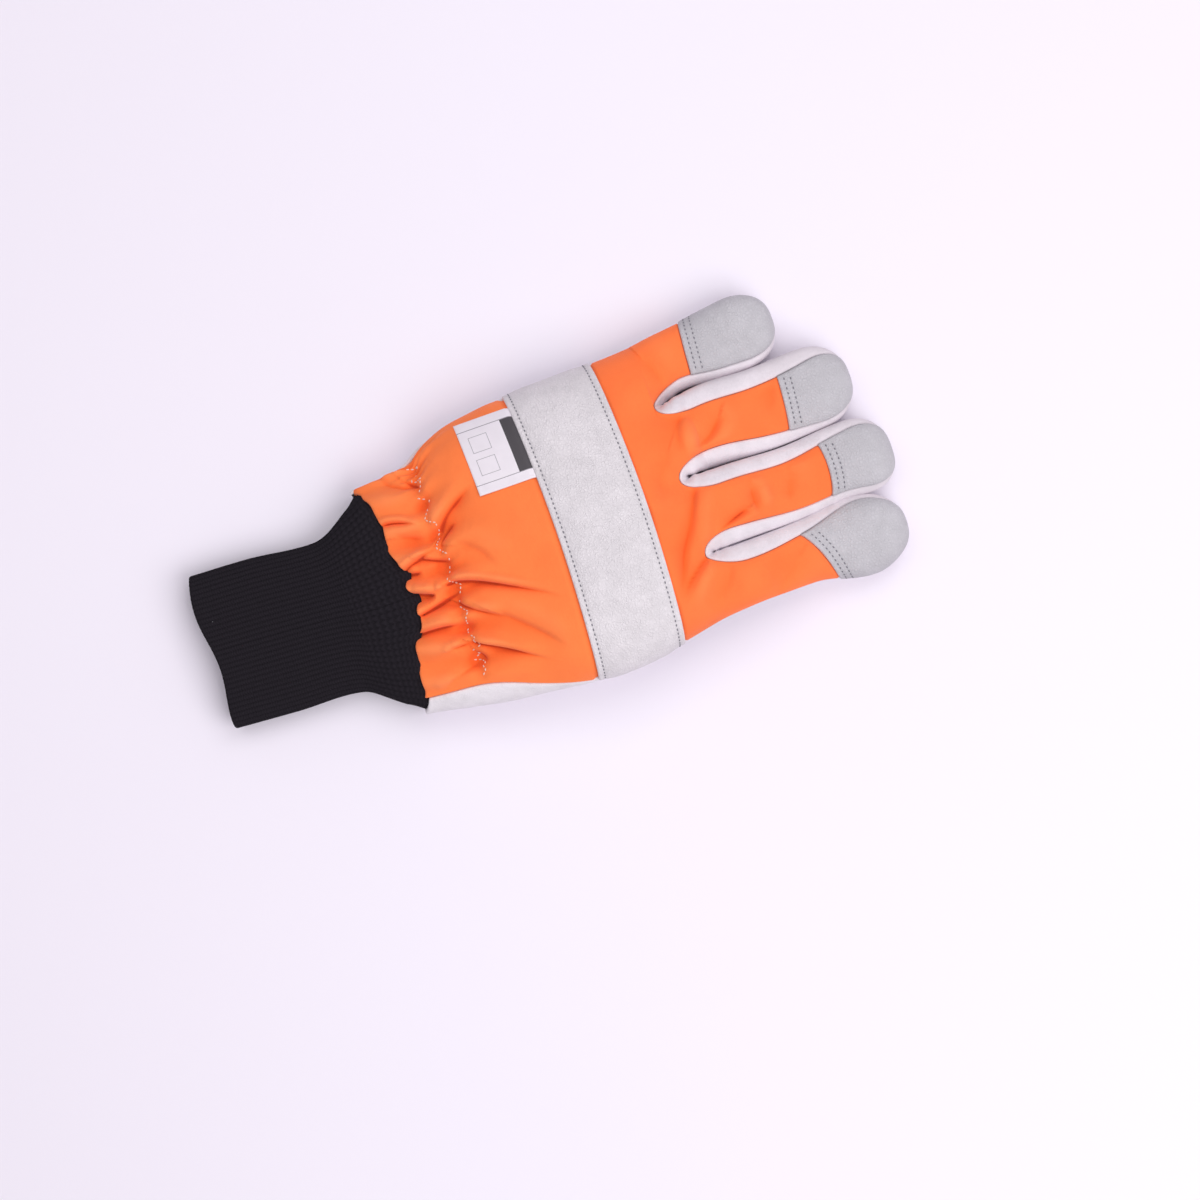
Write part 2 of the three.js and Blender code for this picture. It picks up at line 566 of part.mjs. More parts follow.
// Cloth from the strap over the knuckles and down the four fingers to the caps.
function backFingerCloth() {
  const angles = fingerAngles(backSplits);
  const lifted = (x, angle, lift) => {
    const bowed = bowedX(x, angle);
    const y = handTop(bowed, angle).y;
    const edge = smooth(SIDE - Math.abs(angle), 0, 0.3);
    return backOfHand(bowed, angle, lift === null ? edge * foldLift(bowed, y) : lift);
  };
  const rowAt = (x, lift) => angles.map((angle) => lifted(x, angle, lift));
  const front = HAND_LENGTH - strapEnd;
  const handRows = [
    rowAt(strapEnd - LAP, tucked(STRAP_PROUD)),
    rowAt(strapEnd, tucked(STRAP_PROUD)),
    rowAt(strapEnd + 0.2 * front, null),
    rowAt(strapEnd + 0.45 * front, null),
    rowAt(strapEnd + 0.72 * front, null),
    angles.map((angle) => backOfHand(HAND_LENGTH, angle)),
  ];
  const fingerRows = FINGERS.map((f, i) => {
    const rows = [];
    for (let row = 1; row <= CAP_ROW; row++) {
      const lift = row === CAP_ROW ? tucked(CAP_PROUD) : 0;
      rows.push(span(BACK_CELLS).map((t) => backOfFinger(i, rowReach(i, row, t), t, lift)));
    }
    const onward = (LAP * straightShare(f)) / (lengthOf(f) - tipOf(f));
    rows.push(
      span(BACK_CELLS).map((t) =>
        backOfFinger(i, rowReach(i, CAP_ROW, t) + onward, t, tucked(CAP_PROUD)),
      ),
    );
    return [i, rows];
  });
  return combShell("back_finger_cloth", orangeCloth, CLOTH, handRows, fingerRows);
}

function fingerCap(i) {
  const rows = [];
  for (let row = CAP_ROW; row <= LAST_ROW; row++) {
    const lift = CAP_PROUD * (1 - smooth(row, LAST_ROW - 2, LAST_ROW));
    rows.push(span(BACK_CELLS).map((t) => backOfFinger(i, rowReach(i, row, t), t, lift)));
  }
  return gridShell(`${FINGERS[i].name}_cap`, paleLeather, LEATHER, rows);
}

// A side strip runs down one finger's side, round the crotch and up the next finger's side.
const STRIP_END_ROW = LAST_ROW;
function stripPlace(i, side, reach, p) {
  const f = FINGERS[i];
  const edges = backEdges(f, reach);
  const cover = angleAt(PALM_SIDE_COVER, FINGER_POWER);
  const trim = SEAM_GAP / (FINGER_HEIGHT / 2) / 2;
  const from = side > 0 ? edges.north : -edges.south;
  const angle = side * mix(from + trim, Math.PI - cover - trim, p);
  const distance = distanceOf(f, reach);
  const split = side > 0 ? i : i + 1;
  const x = HAND_LENGTH + distance;
  const down = mix(0.03, 0.97, p);
  const top = backOfHand(x, backSplits[split]);
  const low = palmOfHand(x, palmSplits[split]);
  const share = parted(distance);
  const crotch = mixed(top.point, low.point, down);
  crotch.x += CROTCH_WEB * Math.sin(Math.PI * down);
  const facing = Math.cos(Math.PI * down);
  const crotchNormal = (facing > 0 ? top.normal : low.normal)
    .clone()
    .multiplyScalar(Math.abs(facing))
    .addScaledVector(RIGHT, Math.sin(Math.PI * down))
    .normalize();
  const normal = mixed(crotchNormal, fingerNormal(f, reach, angle), share).normalize();
  return place(mixed(crotch, fingerRound(f, reach, angle), share), normal);
}
function sideStrip(i) {
  const rows = [];
  const row = (finger, side, r) => {
    const reach = rowReach(finger, r, side > 0 ? 0 : 1);
    rows.push(span(STRIP_CELLS).map((p) => stripPlace(finger, side, reach, p)));
  };
  for (let r = STRIP_END_ROW; r >= 0; r--) row(i, -1, r);
  for (let r = 1; r <= STRIP_END_ROW; r++) row(i + 1, 1, r);
  const name = `${FINGERS[i].name}_${FINGERS[i + 1].name}_side_strip`;
  return gridShell(name, paleLeather, LEATHER, rows);
}

// Palm leather in three pieces across the hand, the last of which runs on into the little and index
// fingers, and a piece for each of the other two fingers. The heel piece has the thumb's hole.
const bandEnd = PALM_BAND_AT + PALM_BAND_WIDTH;
function palmRow(x) {
  const splits = [...palmSplits.slice(0, 4), -Math.PI - southAngle(x)];
  return fingerAngles(splits).map((angle) => palmOfHand(x, angle));
}
function palmHeel() {
  const stops = [0, 0.13, 0.26, 0.4, 0.54, 0.68, 0.8, 0.9, 1];
  const rows = stops.map((stop) => {
    return palmRow(mix(SEAM_GAP, PALM_BAND_AT - SEAM_GAP / 2, stop));
  });
  const inHole = (i, j) => i >= 2 && i <= 5 && j >= 13 && j <= 19;
  return gridShell("palm_heel", paleLeather, LEATHER, rows, (i, j) => !inHole(i, j));
}

function palmBand() {
  const rows = span(3).map((stop) =>
    palmRow(mix(PALM_BAND_AT + SEAM_GAP / 2, bandEnd - SEAM_GAP / 2, stop)),
  );
  return gridShell("palm_band", paleLeather, LEATHER, rows);
}
function palmFront() {
  const handRows = [palmRow(bandEnd + SEAM_GAP / 2), palmRow(HAND_LENGTH)];
  const fingerRows = [0, 3].map((i) => {
    const rows = [];
    for (let row = 1; row <= LAST_ROW; row++) {
      rows.push(span(BACK_CELLS).map((t) => palmOfFinger(i, rowReach(i, row, t), t)));
    }
    return [i, rows];
  });
  return combShell("palm_front", paleLeather, LEATHER, handRows, fingerRows);
}
function palmFinger(i) {
  const rows = [];
  for (let row = 0; row <= LAST_ROW; row++) {
    rows.push(
      span(BACK_CELLS).map((t) => {
        const reach = rowReach(i, row, t);
        const first = row === 0 ? 0.006 : 0;
        return palmOfFinger(i, reach + first, t);
      }),
    );
  }
  return gridShell(`palm_${FINGERS[i].name}_finger`, paleLeather, LEATHER, rows);
}

// The thumb: a flattened pouch under the palm, open along its top near the hand and closed at the tip.
const thumbRows = THUMB.map((r, k) => ({ ...r, row: k }));
function thumbPoint(row, angle) {
  const get = (column) => along(thumbRows, column, row, "row");
  const south = new THREE.Vector3(get("southX") * HAND_LENGTH, get("southY") * PALM_WIDTH, 0);
  const north = new THREE.Vector3(get("northX") * HAND_LENGTH, get("northY") * PALM_WIDTH, 0);
  const r = roundness(angle, THUMB_POWER);
  const point = mixed(south, north, 0.5 + 0.5 * r * Math.sin(angle));
  const room = underside(point.x, Math.min(point.y, thumbEdge(point.x))) - THUMB_CLEARANCE;
  const plump = get("plump");
  const press = Math.cos(angle) < 0 ? THUMB_PRESS : 1;
  point.z = Math.max(0, room * (0.5 * Math.min(1, plump + 0.15) + 0.5 * plump * press * r * Math.cos(angle)));
  return point;
}
function thumb() {
  const rows = THUMB.map((r, k) => {
    const open = angleAt(r.open, THUMB_POWER);
    return span(THUMB_CELLS).map((t) => {
      const angle = mix(open, 2 * Math.PI - open, t);
      const inside = Math.min(THUMB.length - 1.02, Math.max(0.02, k));
      return place(thumbPoint(k, angle), normalOf(thumbPoint, inside, angle, 0.02, 0.01, 1));
    });
  });
  return gridShell("thumb", paleLeather, LEATHER, rows);
}

// The knit cuff: a ribbed tube that flares to the wrist seam, where it meets the cloth and the leather.
function cuffLoop(x, angle) {
  const shape = (at) => {
    const half = (CUFF_WIDTH / 2) * along(CUFF, "width", at);
    const r = roundness(angle, BACK_POWER);
    const top = CUFF_HEIGHT * along(CUFF, "top", at);
    return new THREE.Vector3(
      x, CUFF_WIDTH * along(CUFF, "middle", at) + half * r * Math.sin(angle),
      (top / 2) * (1 + r * Math.cos(angle)),
    );
  };
  return shape(1 + x / CUFF_LENGTH);
}
function seamLoop(angle) {
  const upper = Math.cos(angle) >= 0;
  const x = (upper ? bowedX(0, angle) : 0) - SEAM_GAP;
  const point = upper ? handTop(x, angle) : handUnder(x, Math.PI - angle);
  const middle = new THREE.Vector3(point.x, 0, HAND_HEIGHT * SEAM_MIDDLE);
  return point.lerp(middle, SEAM_TUCK);
}
function knitCuff() {
  const stops = [0, 0.45, 0.73, 0.87];
  const around = 2 * RIB_COUNT;
  const angles = Array.from({ length: around }, (_, k) => (2 * Math.PI * k) / around);
  const outer = [];
  const inner = [];
  const ring = (surface, k) => {
    const point = surface(angles[k]);
    const ahead = surface(angles[k] + 0.02).sub(surface(angles[k] - 0.02));
    const outward = new THREE.Vector3(0, ahead.z, -ahead.y).normalize().negate();
    const rib = k % 2 ? -RIB_DEPTH : 0;
    return [
      point.clone().addScaledVector(outward, rib),
      point.clone().addScaledVector(outward, -KNIT - rib / 2),
    ];
  };
  const surfaces = [
    ...stops.map((stop) => (angle) => cuffLoop((stop - 1) * CUFF_LENGTH, angle)),
    seamLoop,
  ];
  for (const surface of surfaces) {
    for (let k = 0; k < around; k++) {
      const [a, b] = ring(surface, k);
      outer.push(a);
      inner.push(b);
    }
  }
  const faces = [];
  const below = outer.length;
  const next = (k) => (k + 1) % around;
  for (let i = 0; i + 1 < surfaces.length; i++) {
    for (let k = 0; k < around; k++) {
      const a = i * around + k;
      const b = i * around + next(k);
      const c = b + around;
      const d = a + around;
      faces.push(a, b, c, a, c, d, below + a, below + c, below + b, below + a, below + d, below + c);
    }
  }
  const last = (surfaces.length - 1) * around;
  for (let k = 0; k < around; k++) {
    faces.push(next(k), k, below + k, next(k), below + k, below + next(k));
    faces.push(last + k, last + next(k), below + last + next(k));
    faces.push(last + k, below + last + next(k), below + last + k);
  }
  return solidMesh("knit_cuff", blackKnit, [...outer, ...inner], faces);
}

// The label: a patch on the cloth beside the strap, its near edge along the strap's.
function backLabel() {
  const middleY = 0.326 * PALM_WIDTH;
  const rows = span(5).map((u) =>
    span(5).map((v) => {
      const y = middleY + (0.5 - v) * LABEL_WIDTH;
      const edge = STRAP_AT - SEAM_GAP;
      const x = edge - (1 - u) * LABEL_LENGTH;
      const s = handSection(x);
      const angle = angleAt((y - s.middle) / s.half, BACK_POWER);
      return backOfHand(bowedX(x, angle), angle, SEAM_GAP + LABEL_THICKNESS);
    }),
  );
  return gridShell("back_label", labelTape, LABEL_THICKNESS, rows);
}

// The glove, with its origin at the middle of its outline on the table.
const hand = new THREE.Group();
hand.add(knitCuff(), backWristCloth(), backLabel(), knuckleStrap(), backFingerCloth());
FINGERS.forEach((f, i) => hand.add(fingerCap(i)));
for (let i = 0; i < 3; i++) hand.add(sideStrip(i));
hand.add(palmHeel(), palmBand(), palmFront(), palmFinger(1), palmFinger(2), thumb());

const bounds = new THREE.Box3().setFromObject(hand);
const middle = bounds.getCenter(new THREE.Vector3());
hand.position.set(-middle.x, -middle.y, -bounds.min.z);

const glove = new THREE.Group();
glove.add(hand);

export default glove;
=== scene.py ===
"""Dresses the frame of a left-hand forestry work glove, lying back up, in cloth, leather and rib knit."""

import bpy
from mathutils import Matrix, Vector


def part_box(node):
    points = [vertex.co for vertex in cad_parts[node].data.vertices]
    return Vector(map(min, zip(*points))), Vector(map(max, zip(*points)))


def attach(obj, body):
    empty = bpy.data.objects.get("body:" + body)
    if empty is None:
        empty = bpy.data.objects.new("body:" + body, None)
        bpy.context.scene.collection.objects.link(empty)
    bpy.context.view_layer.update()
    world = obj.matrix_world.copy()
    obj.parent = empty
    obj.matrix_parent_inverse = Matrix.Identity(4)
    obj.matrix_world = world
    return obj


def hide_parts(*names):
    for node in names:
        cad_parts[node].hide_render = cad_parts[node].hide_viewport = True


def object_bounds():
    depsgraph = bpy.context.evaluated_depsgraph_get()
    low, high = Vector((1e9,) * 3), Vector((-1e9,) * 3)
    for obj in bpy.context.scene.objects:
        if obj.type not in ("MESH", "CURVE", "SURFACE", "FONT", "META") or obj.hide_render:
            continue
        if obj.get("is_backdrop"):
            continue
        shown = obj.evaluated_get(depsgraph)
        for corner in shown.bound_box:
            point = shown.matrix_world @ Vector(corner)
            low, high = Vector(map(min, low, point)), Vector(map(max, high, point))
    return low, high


bl_info = {
    "name": "Forestry Glove",
    "version": (1, 0, 0),
    "blender": (4, 5, 0),
    "location": "3D View > Sidebar > Glove",
    "description": "Makes the cloth, leather, knit and stitching of a forestry work glove",
    "category": "Add Mesh",
}

import bpy
import numpy as np
from bpy.props import FloatProperty, FloatVectorProperty, IntProperty, PointerProperty
from mathutils import Matrix, Vector

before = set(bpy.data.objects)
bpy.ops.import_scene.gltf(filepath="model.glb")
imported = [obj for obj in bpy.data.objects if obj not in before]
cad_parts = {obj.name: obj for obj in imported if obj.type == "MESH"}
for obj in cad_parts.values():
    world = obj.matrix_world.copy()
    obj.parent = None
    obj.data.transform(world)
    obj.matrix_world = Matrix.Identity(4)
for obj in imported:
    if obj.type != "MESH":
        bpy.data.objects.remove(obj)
CAD_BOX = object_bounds()

MM = 0.001
PI = np.pi
SIDE = PI / 2


def table(columns, *rows):
    """A short table with named columns."""
    values = np.array(rows, float)
    return {name: values[:, k] for k, name in enumerate(columns.split())}


# The glove's sizes in millimetres. x runs from the wrist seam's side ends to the fingertips, y to the
# little-finger side and z up from the table.
PALM_WIDTH = 124
HAND_LENGTH = 132
HAND_HEIGHT = 43
FINGER_LENGTH = 90
FINGER_HEIGHT = 20
THUMB_HEIGHT = 15.5
CUFF_LENGTH = 77
CUFF_WIDTH = 67
CUFF_HEIGHT = 17
CLOTH = 1.3
LEATHER = 1.6
KNIT = 2.4
LABEL_THICKNESS = 0.6
STRAP_WIDTH = 39
STRAP_TO_CROTCH = 19.5
STRAP_BOW = 3.5
WRIST_BOW = 11
STRAP_PROUD = 0.8
CAP_PROUD = 0.5
LAP = 5
ELASTIC_AT = 27.5
RUFFLE_COUNT = 11
ELASTIC_GROOVE = 2.2
LABEL_LENGTH = 23.5
LABEL_WIDTH = 31.5
LABEL_MIDDLE = 0.326
PALM_BAND_WIDTH = 37
PALM_BAND_TO_CROTCH = 8
FINGERTIP = 18
CROTCH_ROUND = 16
CROTCH_WEB = 5
CROTCH_DIP = 4.5
THUMB_CLEARANCE = 0.8
THUMB_PRESS = 1.12
SEAM_GAP = 0.12

BACK_POWER = 2.6
PALM_POWER = 4.5
FINGER_POWER = 2.5
THUMB_POWER = 4

STRAP_AT = HAND_LENGTH - STRAP_TO_CROTCH - STRAP_WIDTH
STRAP_END = STRAP_AT + STRAP_WIDTH
PALM_BAND_AT = HAND_LENGTH - PALM_BAND_TO_CROTCH - PALM_BAND_WIDTH
PALM_BAND_END = PALM_BAND_AT + PALM_BAND_WIDTH

# How wide a finger's pieces lie flat, from one turned edge to the other.
CLOTH_FLAT = 24
CAP_FLAT = 27
STRIP_FLAT = 14
PALM_FLAT = 30

# Where the thumb grows out of the palm's heel, in x and in y.
THUMB_HOLE = (24, 60), (-34, 0)

# How far rows of stitching lie from the edges of the strap, the caps and the palm's band.
STRAP_ROW = 2.7
CAP_ROWS = (2.6, 5.3)
BAND_ROWS = (2.2, 5.0, 18.2, 21.0, 32.0, 34.8)

# Cross-sections of the hand, as shares of HAND_LENGTH, PALM_WIDTH and HAND_HEIGHT. wrap is how far
# round from the crown to the side the cloth comes on the thumb side.
HAND = table(
    "at north south rim_north rim_south top wrap",
    (-0.1, 0.366, -0.42, 0.26, 0.29, 0.55, 0.6),
    (0, 0.371, -0.428, 0.26, 0.3, 0.57, 0.6),
    (0.19, 0.388, -0.464, 0.25, 0.38, 0.71, 0.56),
    (0.28, 0.44, -0.48, 0.25, 0.42, 0.8, 0.59),
    (0.38, 0.478, -0.49, 0.25, 0.46, 0.88, 0.68),
    (0.56, 0.5, -0.508, 0.26, 0.52, 0.98, 0.85),
    (0.72, 0.506, -0.502, 0.26, 0.54, 1, 0.96),
    (0.86, 0.512, -0.478, 0.26, 0.53, 0.96, 1),
    (1, 0.524, -0.448, 0.24, 0.51, 0.86, 1),
    (1.15, 0.542, -0.434, 0.22, 0.46, 0.76, 1),
)
CROTCHES = (0.298, 0.038, -0.226)

def finger(name, long, round, cap, *sections):
    """A finger. long and round are shares of FINGER_LENGTH and FINGERTIP, and cap is where the leather cap
    starts on the north side, in the middle and on the south side, as shares of the finger's length. In the
    sections, north and south are shares of PALM_WIDTH, tall of FINGER_HEIGHT, and the last two are how much
    of the half width the back covers."""
    rows = table("at north south tall back_north back_south", *sections)
    return {"name": name, "long": long, "round": round, "cap": cap, "sections": rows}


FINGERS = (
    finger(
        "little", 0.667, 1, (0.367, 0.34, 0.325),
        (0, 0.524, 0.303, 1.05, 1, 0.72),
        (0.25, 0.541, 0.332, 0.98, 1, 0.71),
        (0.5, 0.56, 0.326, 0.95, 1, 0.77),
        (0.75, 0.576, 0.33, 0.92, 1, 0.84),
        (1, 0.58, 0.34, 0.88, 1, 0.97),
    ),
    finger(
        "ring", 0.924, 1, (0.64, 0.63, 0.614),
        (0, 0.294, 0.045, 0.98, 0.56, 0.6),
        (0.25, 0.323, 0.045, 0.95, 0.54, 0.58),
        (0.5, 0.321, 0.042, 0.95, 0.55, 0.7),
        (0.75, 0.33, 0.056, 0.93, 0.62, 0.88),
        (1, 0.322, 0.064, 0.9, 0.97, 0.97),
    ),
    finger(
        "middle", 1, 0.89, (0.668, 0.679, 0.656),
        (0, 0.034, -0.222, 0.98, 0.6, 0.56),
        (0.25, 0.036, -0.217, 0.95, 0.62, 0.66),
        (0.5, 0.033, -0.213, 0.95, 0.6, 0.78),
        (0.75, 0.046, -0.195, 0.93, 0.74, 0.86),
        (1, 0.046, -0.216, 0.9, 0.97, 0.97),
    ),
    finger(
        "index", 0.954, 1.06, (0.478, 0.564, 0.6),
        (0, -0.23, -0.448, 0.98, 0.6, 1),
        (0.25, -0.225, -0.434, 0.95, 0.43, 1),
        (0.5, -0.22, -0.435, 0.95, 0.62, 1),
        (0.75, -0.203, -0.47, 0.95, 0.9, 1),
        (1, -0.222, -0.45, 0.9, 0.97, 1),
    ),
)
PALM_SIDE_COVER = 0.8

# The folded thumb seen from above, as shares of HAND_LENGTH and PALM_WIDTH. open is how much of the
# half width is open towards the palm.
THUMB = table(
    "south_x south_y north_x north_y open plump row",
    (0.006, -0.4, 0.006, -0.08, 0.96, 1, 0),
    (0.15, -0.435, 0.15, -0.068, 0.9, 1, 1),
    (0.34, -0.468, 0.34, -0.024, 0.84, 1, 2),
    (0.53, -0.485, 0.53, 0.012, 0.8, 1, 3),
    (0.69, -0.478, 0.66, 0.036, 0.45, 1, 4),
    (0.8, -0.395, 0.72, 0.052, 0.02, 1, 5),
    (0.9, -0.295, 0.79, 0.07, 0.02, 1, 6),
    (0.99, -0.205, 0.87, 0.084, 0.02, 1, 7),
    (1.05, -0.14, 0.95, 0.094, 0.02, 0.93, 8),
    (1.085, -0.082, 1.02, 0.088, 0.03, 0.74, 9),
    (1.102, -0.036, 1.07, 0.062, 0.05, 0.45, 10),
    (1.108, -0.004, 1.098, 0.03, 0.12, 0.08, 11),
)

# Creases in the cloth back: where each starts, bends and ends, as shares of HAND_LENGTH and PALM_WIDTH,
# with its depth and width as shares of the crease depth and CREASE_WIDTH.
CREASE_WIDTH = 1.5
CREASES = table(
    "from_x from_y bend_x bend_y to_x to_y depth width",
    (0.07, 0.22, 0.12, 0.21, 0.18, 0.18, 1.2, 0.7),
    (0.23, 0.14, 0.29, 0.2, 0.38, 0.25, 1.3, 1.5),
    (0.09, 0.05, 0.14, 0.07, 0.21, 0.09, 1.3, 0.8),
    (0.15, 0.07, 0.19, 0.05, 0.23, 0.03, 0.8, 0.7),
    (0.09, 0.04, 0.11, 0.03, 0.14, 0.03, 1, 1),
    (0.09, -0.03, 0.13, -0.05, 0.16, -0.06, 1.6, 1.1),
    (0.09, -0.11, 0.14, -0.1, 0.24, -0.07, 1.6, 1),
    (0.2, -0.04, 0.31, -0.07, 0.55, -0.21, 1.5, 0.9),
    (0.05, -0.17, 0.13, -0.17, 0.2, -0.18, 1.2, 0.8),
    (0.21, -0.11, 0.26, -0.15, 0.35, -0.21, 1, 1.1),
    (0.22, -0.25, 0.28, -0.29, 0.44, -0.39, 1.5, 1),
    (0.16, -0.25, 0.18, -0.25, 0.21, -0.25, 0.8, 0.9),
    (0.11, 0.16, 0.14, 0.15, 0.18, 0.13, 0.5, 1.6),
    (0.18, 0.34, 0.2, 0.32, 0.22, 0.3, 0.7, 1),
    (0.28, 0.07, 0.33, 0.03, 0.38, -0.06, 0.6, 2.6),
    (0.22, 0.09, 0.25, 0.13, 0.29, 0.15, 0.6, 0.8),
    (0.22, -0.29, 0.23, -0.31, 0.24, -0.33, 0.5, 1),
    (0.1, 0.38, 0.15, 0.33, 0.22, 0.31, 0.5, 1.2),
    (0.11, -0.36, 0.16, -0.34, 0.22, -0.33, 0.5, 1.3),
    (0.34, -0.2, 0.43, -0.29, 0.5, -0.37, 0.7, 2.2),
    (1.17, -0.13, 1.12, -0.15, 1.05, -0.17, 0.9, 1),
    (1.21, -0.07, 1.21, -0.11, 1.21, -0.15, 0.8, 1.4),
    (1.34, -0.07, 1.33, -0.11, 1.31, -0.15, 0.5, 2.0),
    (1.04, 0.01, 0.97, -0.16, 0.88, -0.35, 0.9, 1.9),
    (1.01, -0.23, 0.95, -0.28, 0.88, -0.36, 1, 1.7),
    (1.08, 0.25, 1.04, 0.18, 1.04, 0.08, 0.8, 2.2),
    (1.18, 0.19, 1.13, 0.14, 1.07, 0.13, 0.8, 1.6),
    (1.02, 0.46, 1.05, 0.37, 1.05, 0.28, 0.5, 2.6),
    (1.37, 0.26, 1.36, 0.2, 1.33, 0.15, 0.4, 2.4),
    (0.99, 0.13, 0.95, 0.06, 0.93, -0.01, 0.4, 2.6),
    (1.27, -0.35, 1.21, -0.4, 1.16, -0.41, 0.4, 2.4),
    (1.06, -0.29, 1.02, -0.36, 0.95, -0.41, 0.4, 2.4),
)

# How far the wrist seam wanders forward from its bow, by the share of the half width across the back, as a
# share of WRIST_BOW.
WRIST_SEAM = table(
    "across forward",
    (-1, 0),
    (-0.84, -0.17),
    (-0.72, -0.2),
    (-0.6, -0.37),
    (-0.48, -0.27),
    (-0.35, -0.22),
    (-0.27, 0.08),
    (-0.15, 0.1),
    (-0.03, 0.09),
    (0.08, -0.01),
    (0.19, 0.12),
    (0.4, -0.13),
    (0.52, 0.02),
    (0.63, 0.12),
    (0.84, 0.16),
    (1, 0.16),
)

CUFF = table(
    "at width middle top",
    (0, 1, 0.01, 1),
    (0.35, 1.01, -0.01, 1.02),
    (0.72, 0.99, -0.04, 1.15),
    (0.87, 1.16, -0.07, 1.3),
)


# Small maths on arrays.
def mix(a, b, share):
    return a + (b - a) * share


def smooth(value, low, high):
    t = np.clip((value - low) / (high - low), 0, 1)
    return t * t * (3 - 2 * t)


def bell(value, width):
    return np.exp(-((value / width) ** 2))


def along(rows, column, at, key="at"):
    """A table's column on a smooth curve through its rows."""
    keys = rows[key]
    values = rows[column]
    count = len(keys)
    before = np.maximum(np.arange(count) - 1, 0)
    after = np.minimum(np.arange(count) + 1, count - 1)
    slopes = (values[after] - values[before]) / (keys[after] - keys[before])
    i = np.clip(np.searchsorted(keys, at, side="right") - 1, 0, count - 2)
    step = keys[i + 1] - keys[i]
    t = np.clip((at - keys[i]) / step, 0, 1)
    ends = (1 + 2 * t) * (1 - t) ** 2 * values[i] + t * t * (3 - 2 * t) * values[i + 1]
    return ends + step * (t * (1 - t) ** 2 * slopes[i] + t * t * (t - 1) * slopes[i + 1])


def lattice(rows, columns):
    return np.meshgrid(rows, columns, indexing="ij")


def stack(x, y, z):
    return np.stack(np.broadcast_arrays(x, y, z), axis=-1)


def unit(vectors):
    return vectors / np.maximum(np.linalg.norm(vectors, axis=-1, keepdims=True), 1e-9)


def roundness(angle, power):
    return (np.abs(np.sin(angle)) ** power + np.abs(np.cos(angle)) ** power) ** (-1 / power)


def angle_at(share, power):
    side = np.minimum(1, np.abs(share))
    return np.sign(share) * np.arctan2(side, (1 - side**power) ** (1 / power))


def normal_of(surface, a, b, step_a, step_b, facing=1):
    along_a = surface(a + step_a, b) - surface(a - step_a, b)
    along_b = surface(a, b + step_b) - surface(a, b - step_b)
    return unit(np.cross(along_a, along_b)) * facing


def steps(count, width=0, edge=1.4):
    """Shares from 0 to 1, closer together within edge millimetres of both ends of a given width."""
    if not width:
        return np.linspace(0, 1, count + 1)
    e = edge / width
    near = np.array([0, 0.12, 0.35, 0.65]) * e
    return np.concatenate([near, np.linspace(e, 1 - e, count - 7), 1 - near[::-1]])


def nearer_edge(t, width):
    """Distance to the nearer of two sides, for a share of the way between them."""
    return np.minimum(t, 1 - t) * width


def off_side(angle):
    """0 at the glove's sides, 1 away from them."""
    return smooth(SIDE - np.abs(angle), 0, 0.3)


def tuck(distance, radius=1.2, depth=1):
    """How far a turned edge rolls in at a distance from it."""
    share = 1 - np.clip(distance / radius, 0, 1)
    return -depth * (1 - np.sqrt(1 - share**2))


# The glove's surfaces.
def thumb_edge(x):
    return PALM_WIDTH * along(THUMB, "north_y", x / HAND_LENGTH, "north_x")


def underside(x, y):
    """Height of the palm side above the table."""
    at_wrist = mix(0.3, 1, smooth(x, 0, 0.32 * HAND_LENGTH))
    past_tip = 1 - smooth(x, 1.06 * HAND_LENGTH, 1.42 * HAND_LENGTH)
    edge = thumb_edge(x)
    beside = 1 - smooth(y, edge + 0.03 * PALM_WIDTH, edge + 0.27 * PALM_WIDTH)
    return (THUMB_HEIGHT + THUMB_CLEARANCE) * at_wrist * past_tip * beside


def hand_section(x):
    at = x / HAND_LENGTH
    north = PALM_WIDTH * along(HAND, "north", at)
    south = PALM_WIDTH * along(HAND, "south", at)
    heights = [HAND_HEIGHT * along(HAND, name, at) for name in ("rim_north", "rim_south", "top")]
    return (north + south) / 2, (north - south) / 2, *heights


def hand_side(x, angle, power):
    """A place across the hand, the rim's height there and how far up or down from the rim it is."""
    middle, half, rim_north, rim_south, top = hand_section(x)
    r = roundness(angle, power)
    across = r * np.sin(angle)
    rim = mix(rim_south, rim_north, (across + 1) / 2)
    return middle + half * across, rim, r * np.cos(angle), top - (rim_north + rim_south) / 2


def hand_top(x, angle):
    """The back of the hand: angle 0 is the crown and +90 degrees the little-finger side."""
    y, rim, up, crown = hand_side(x, angle, BACK_POWER)
    dip = sum(bell(y - c * PALM_WIDTH, 7) for c in CROTCHES)
    parting = CROTCH_DIP * dip * smooth(x, 0.88 * HAND_LENGTH, HAND_LENGTH)
    return stack(x, y, rim + crown * up - parting)


def hand_under(x, angle):
    """The palm side: angle 0 is the middle of the palm."""
    y, rim, down, _ = hand_side(x, angle, PALM_POWER)
    return stack(x, y, rim - (rim - underside(x, y)) * down)


def length_of(f):
    return f["long"] * FINGER_LENGTH


def tip_of(f):
    return f["round"] * FINGERTIP


def straight_share(f):
    straight = length_of(f) - tip_of(f)
    return straight / (straight + tip_of(f) * PI / 2)


def turn_of(f, reach):
    straight = straight_share(f)
    return np.maximum(0, (reach - straight) / (1 - straight)) * np.radians(89.3)


def distance_of(f, reach):
    body = length_of(f) - tip_of(f)
    return body * np.minimum(1, reach / straight_share(f)) + tip_of(f) * np.sin(turn_of(f, reach))


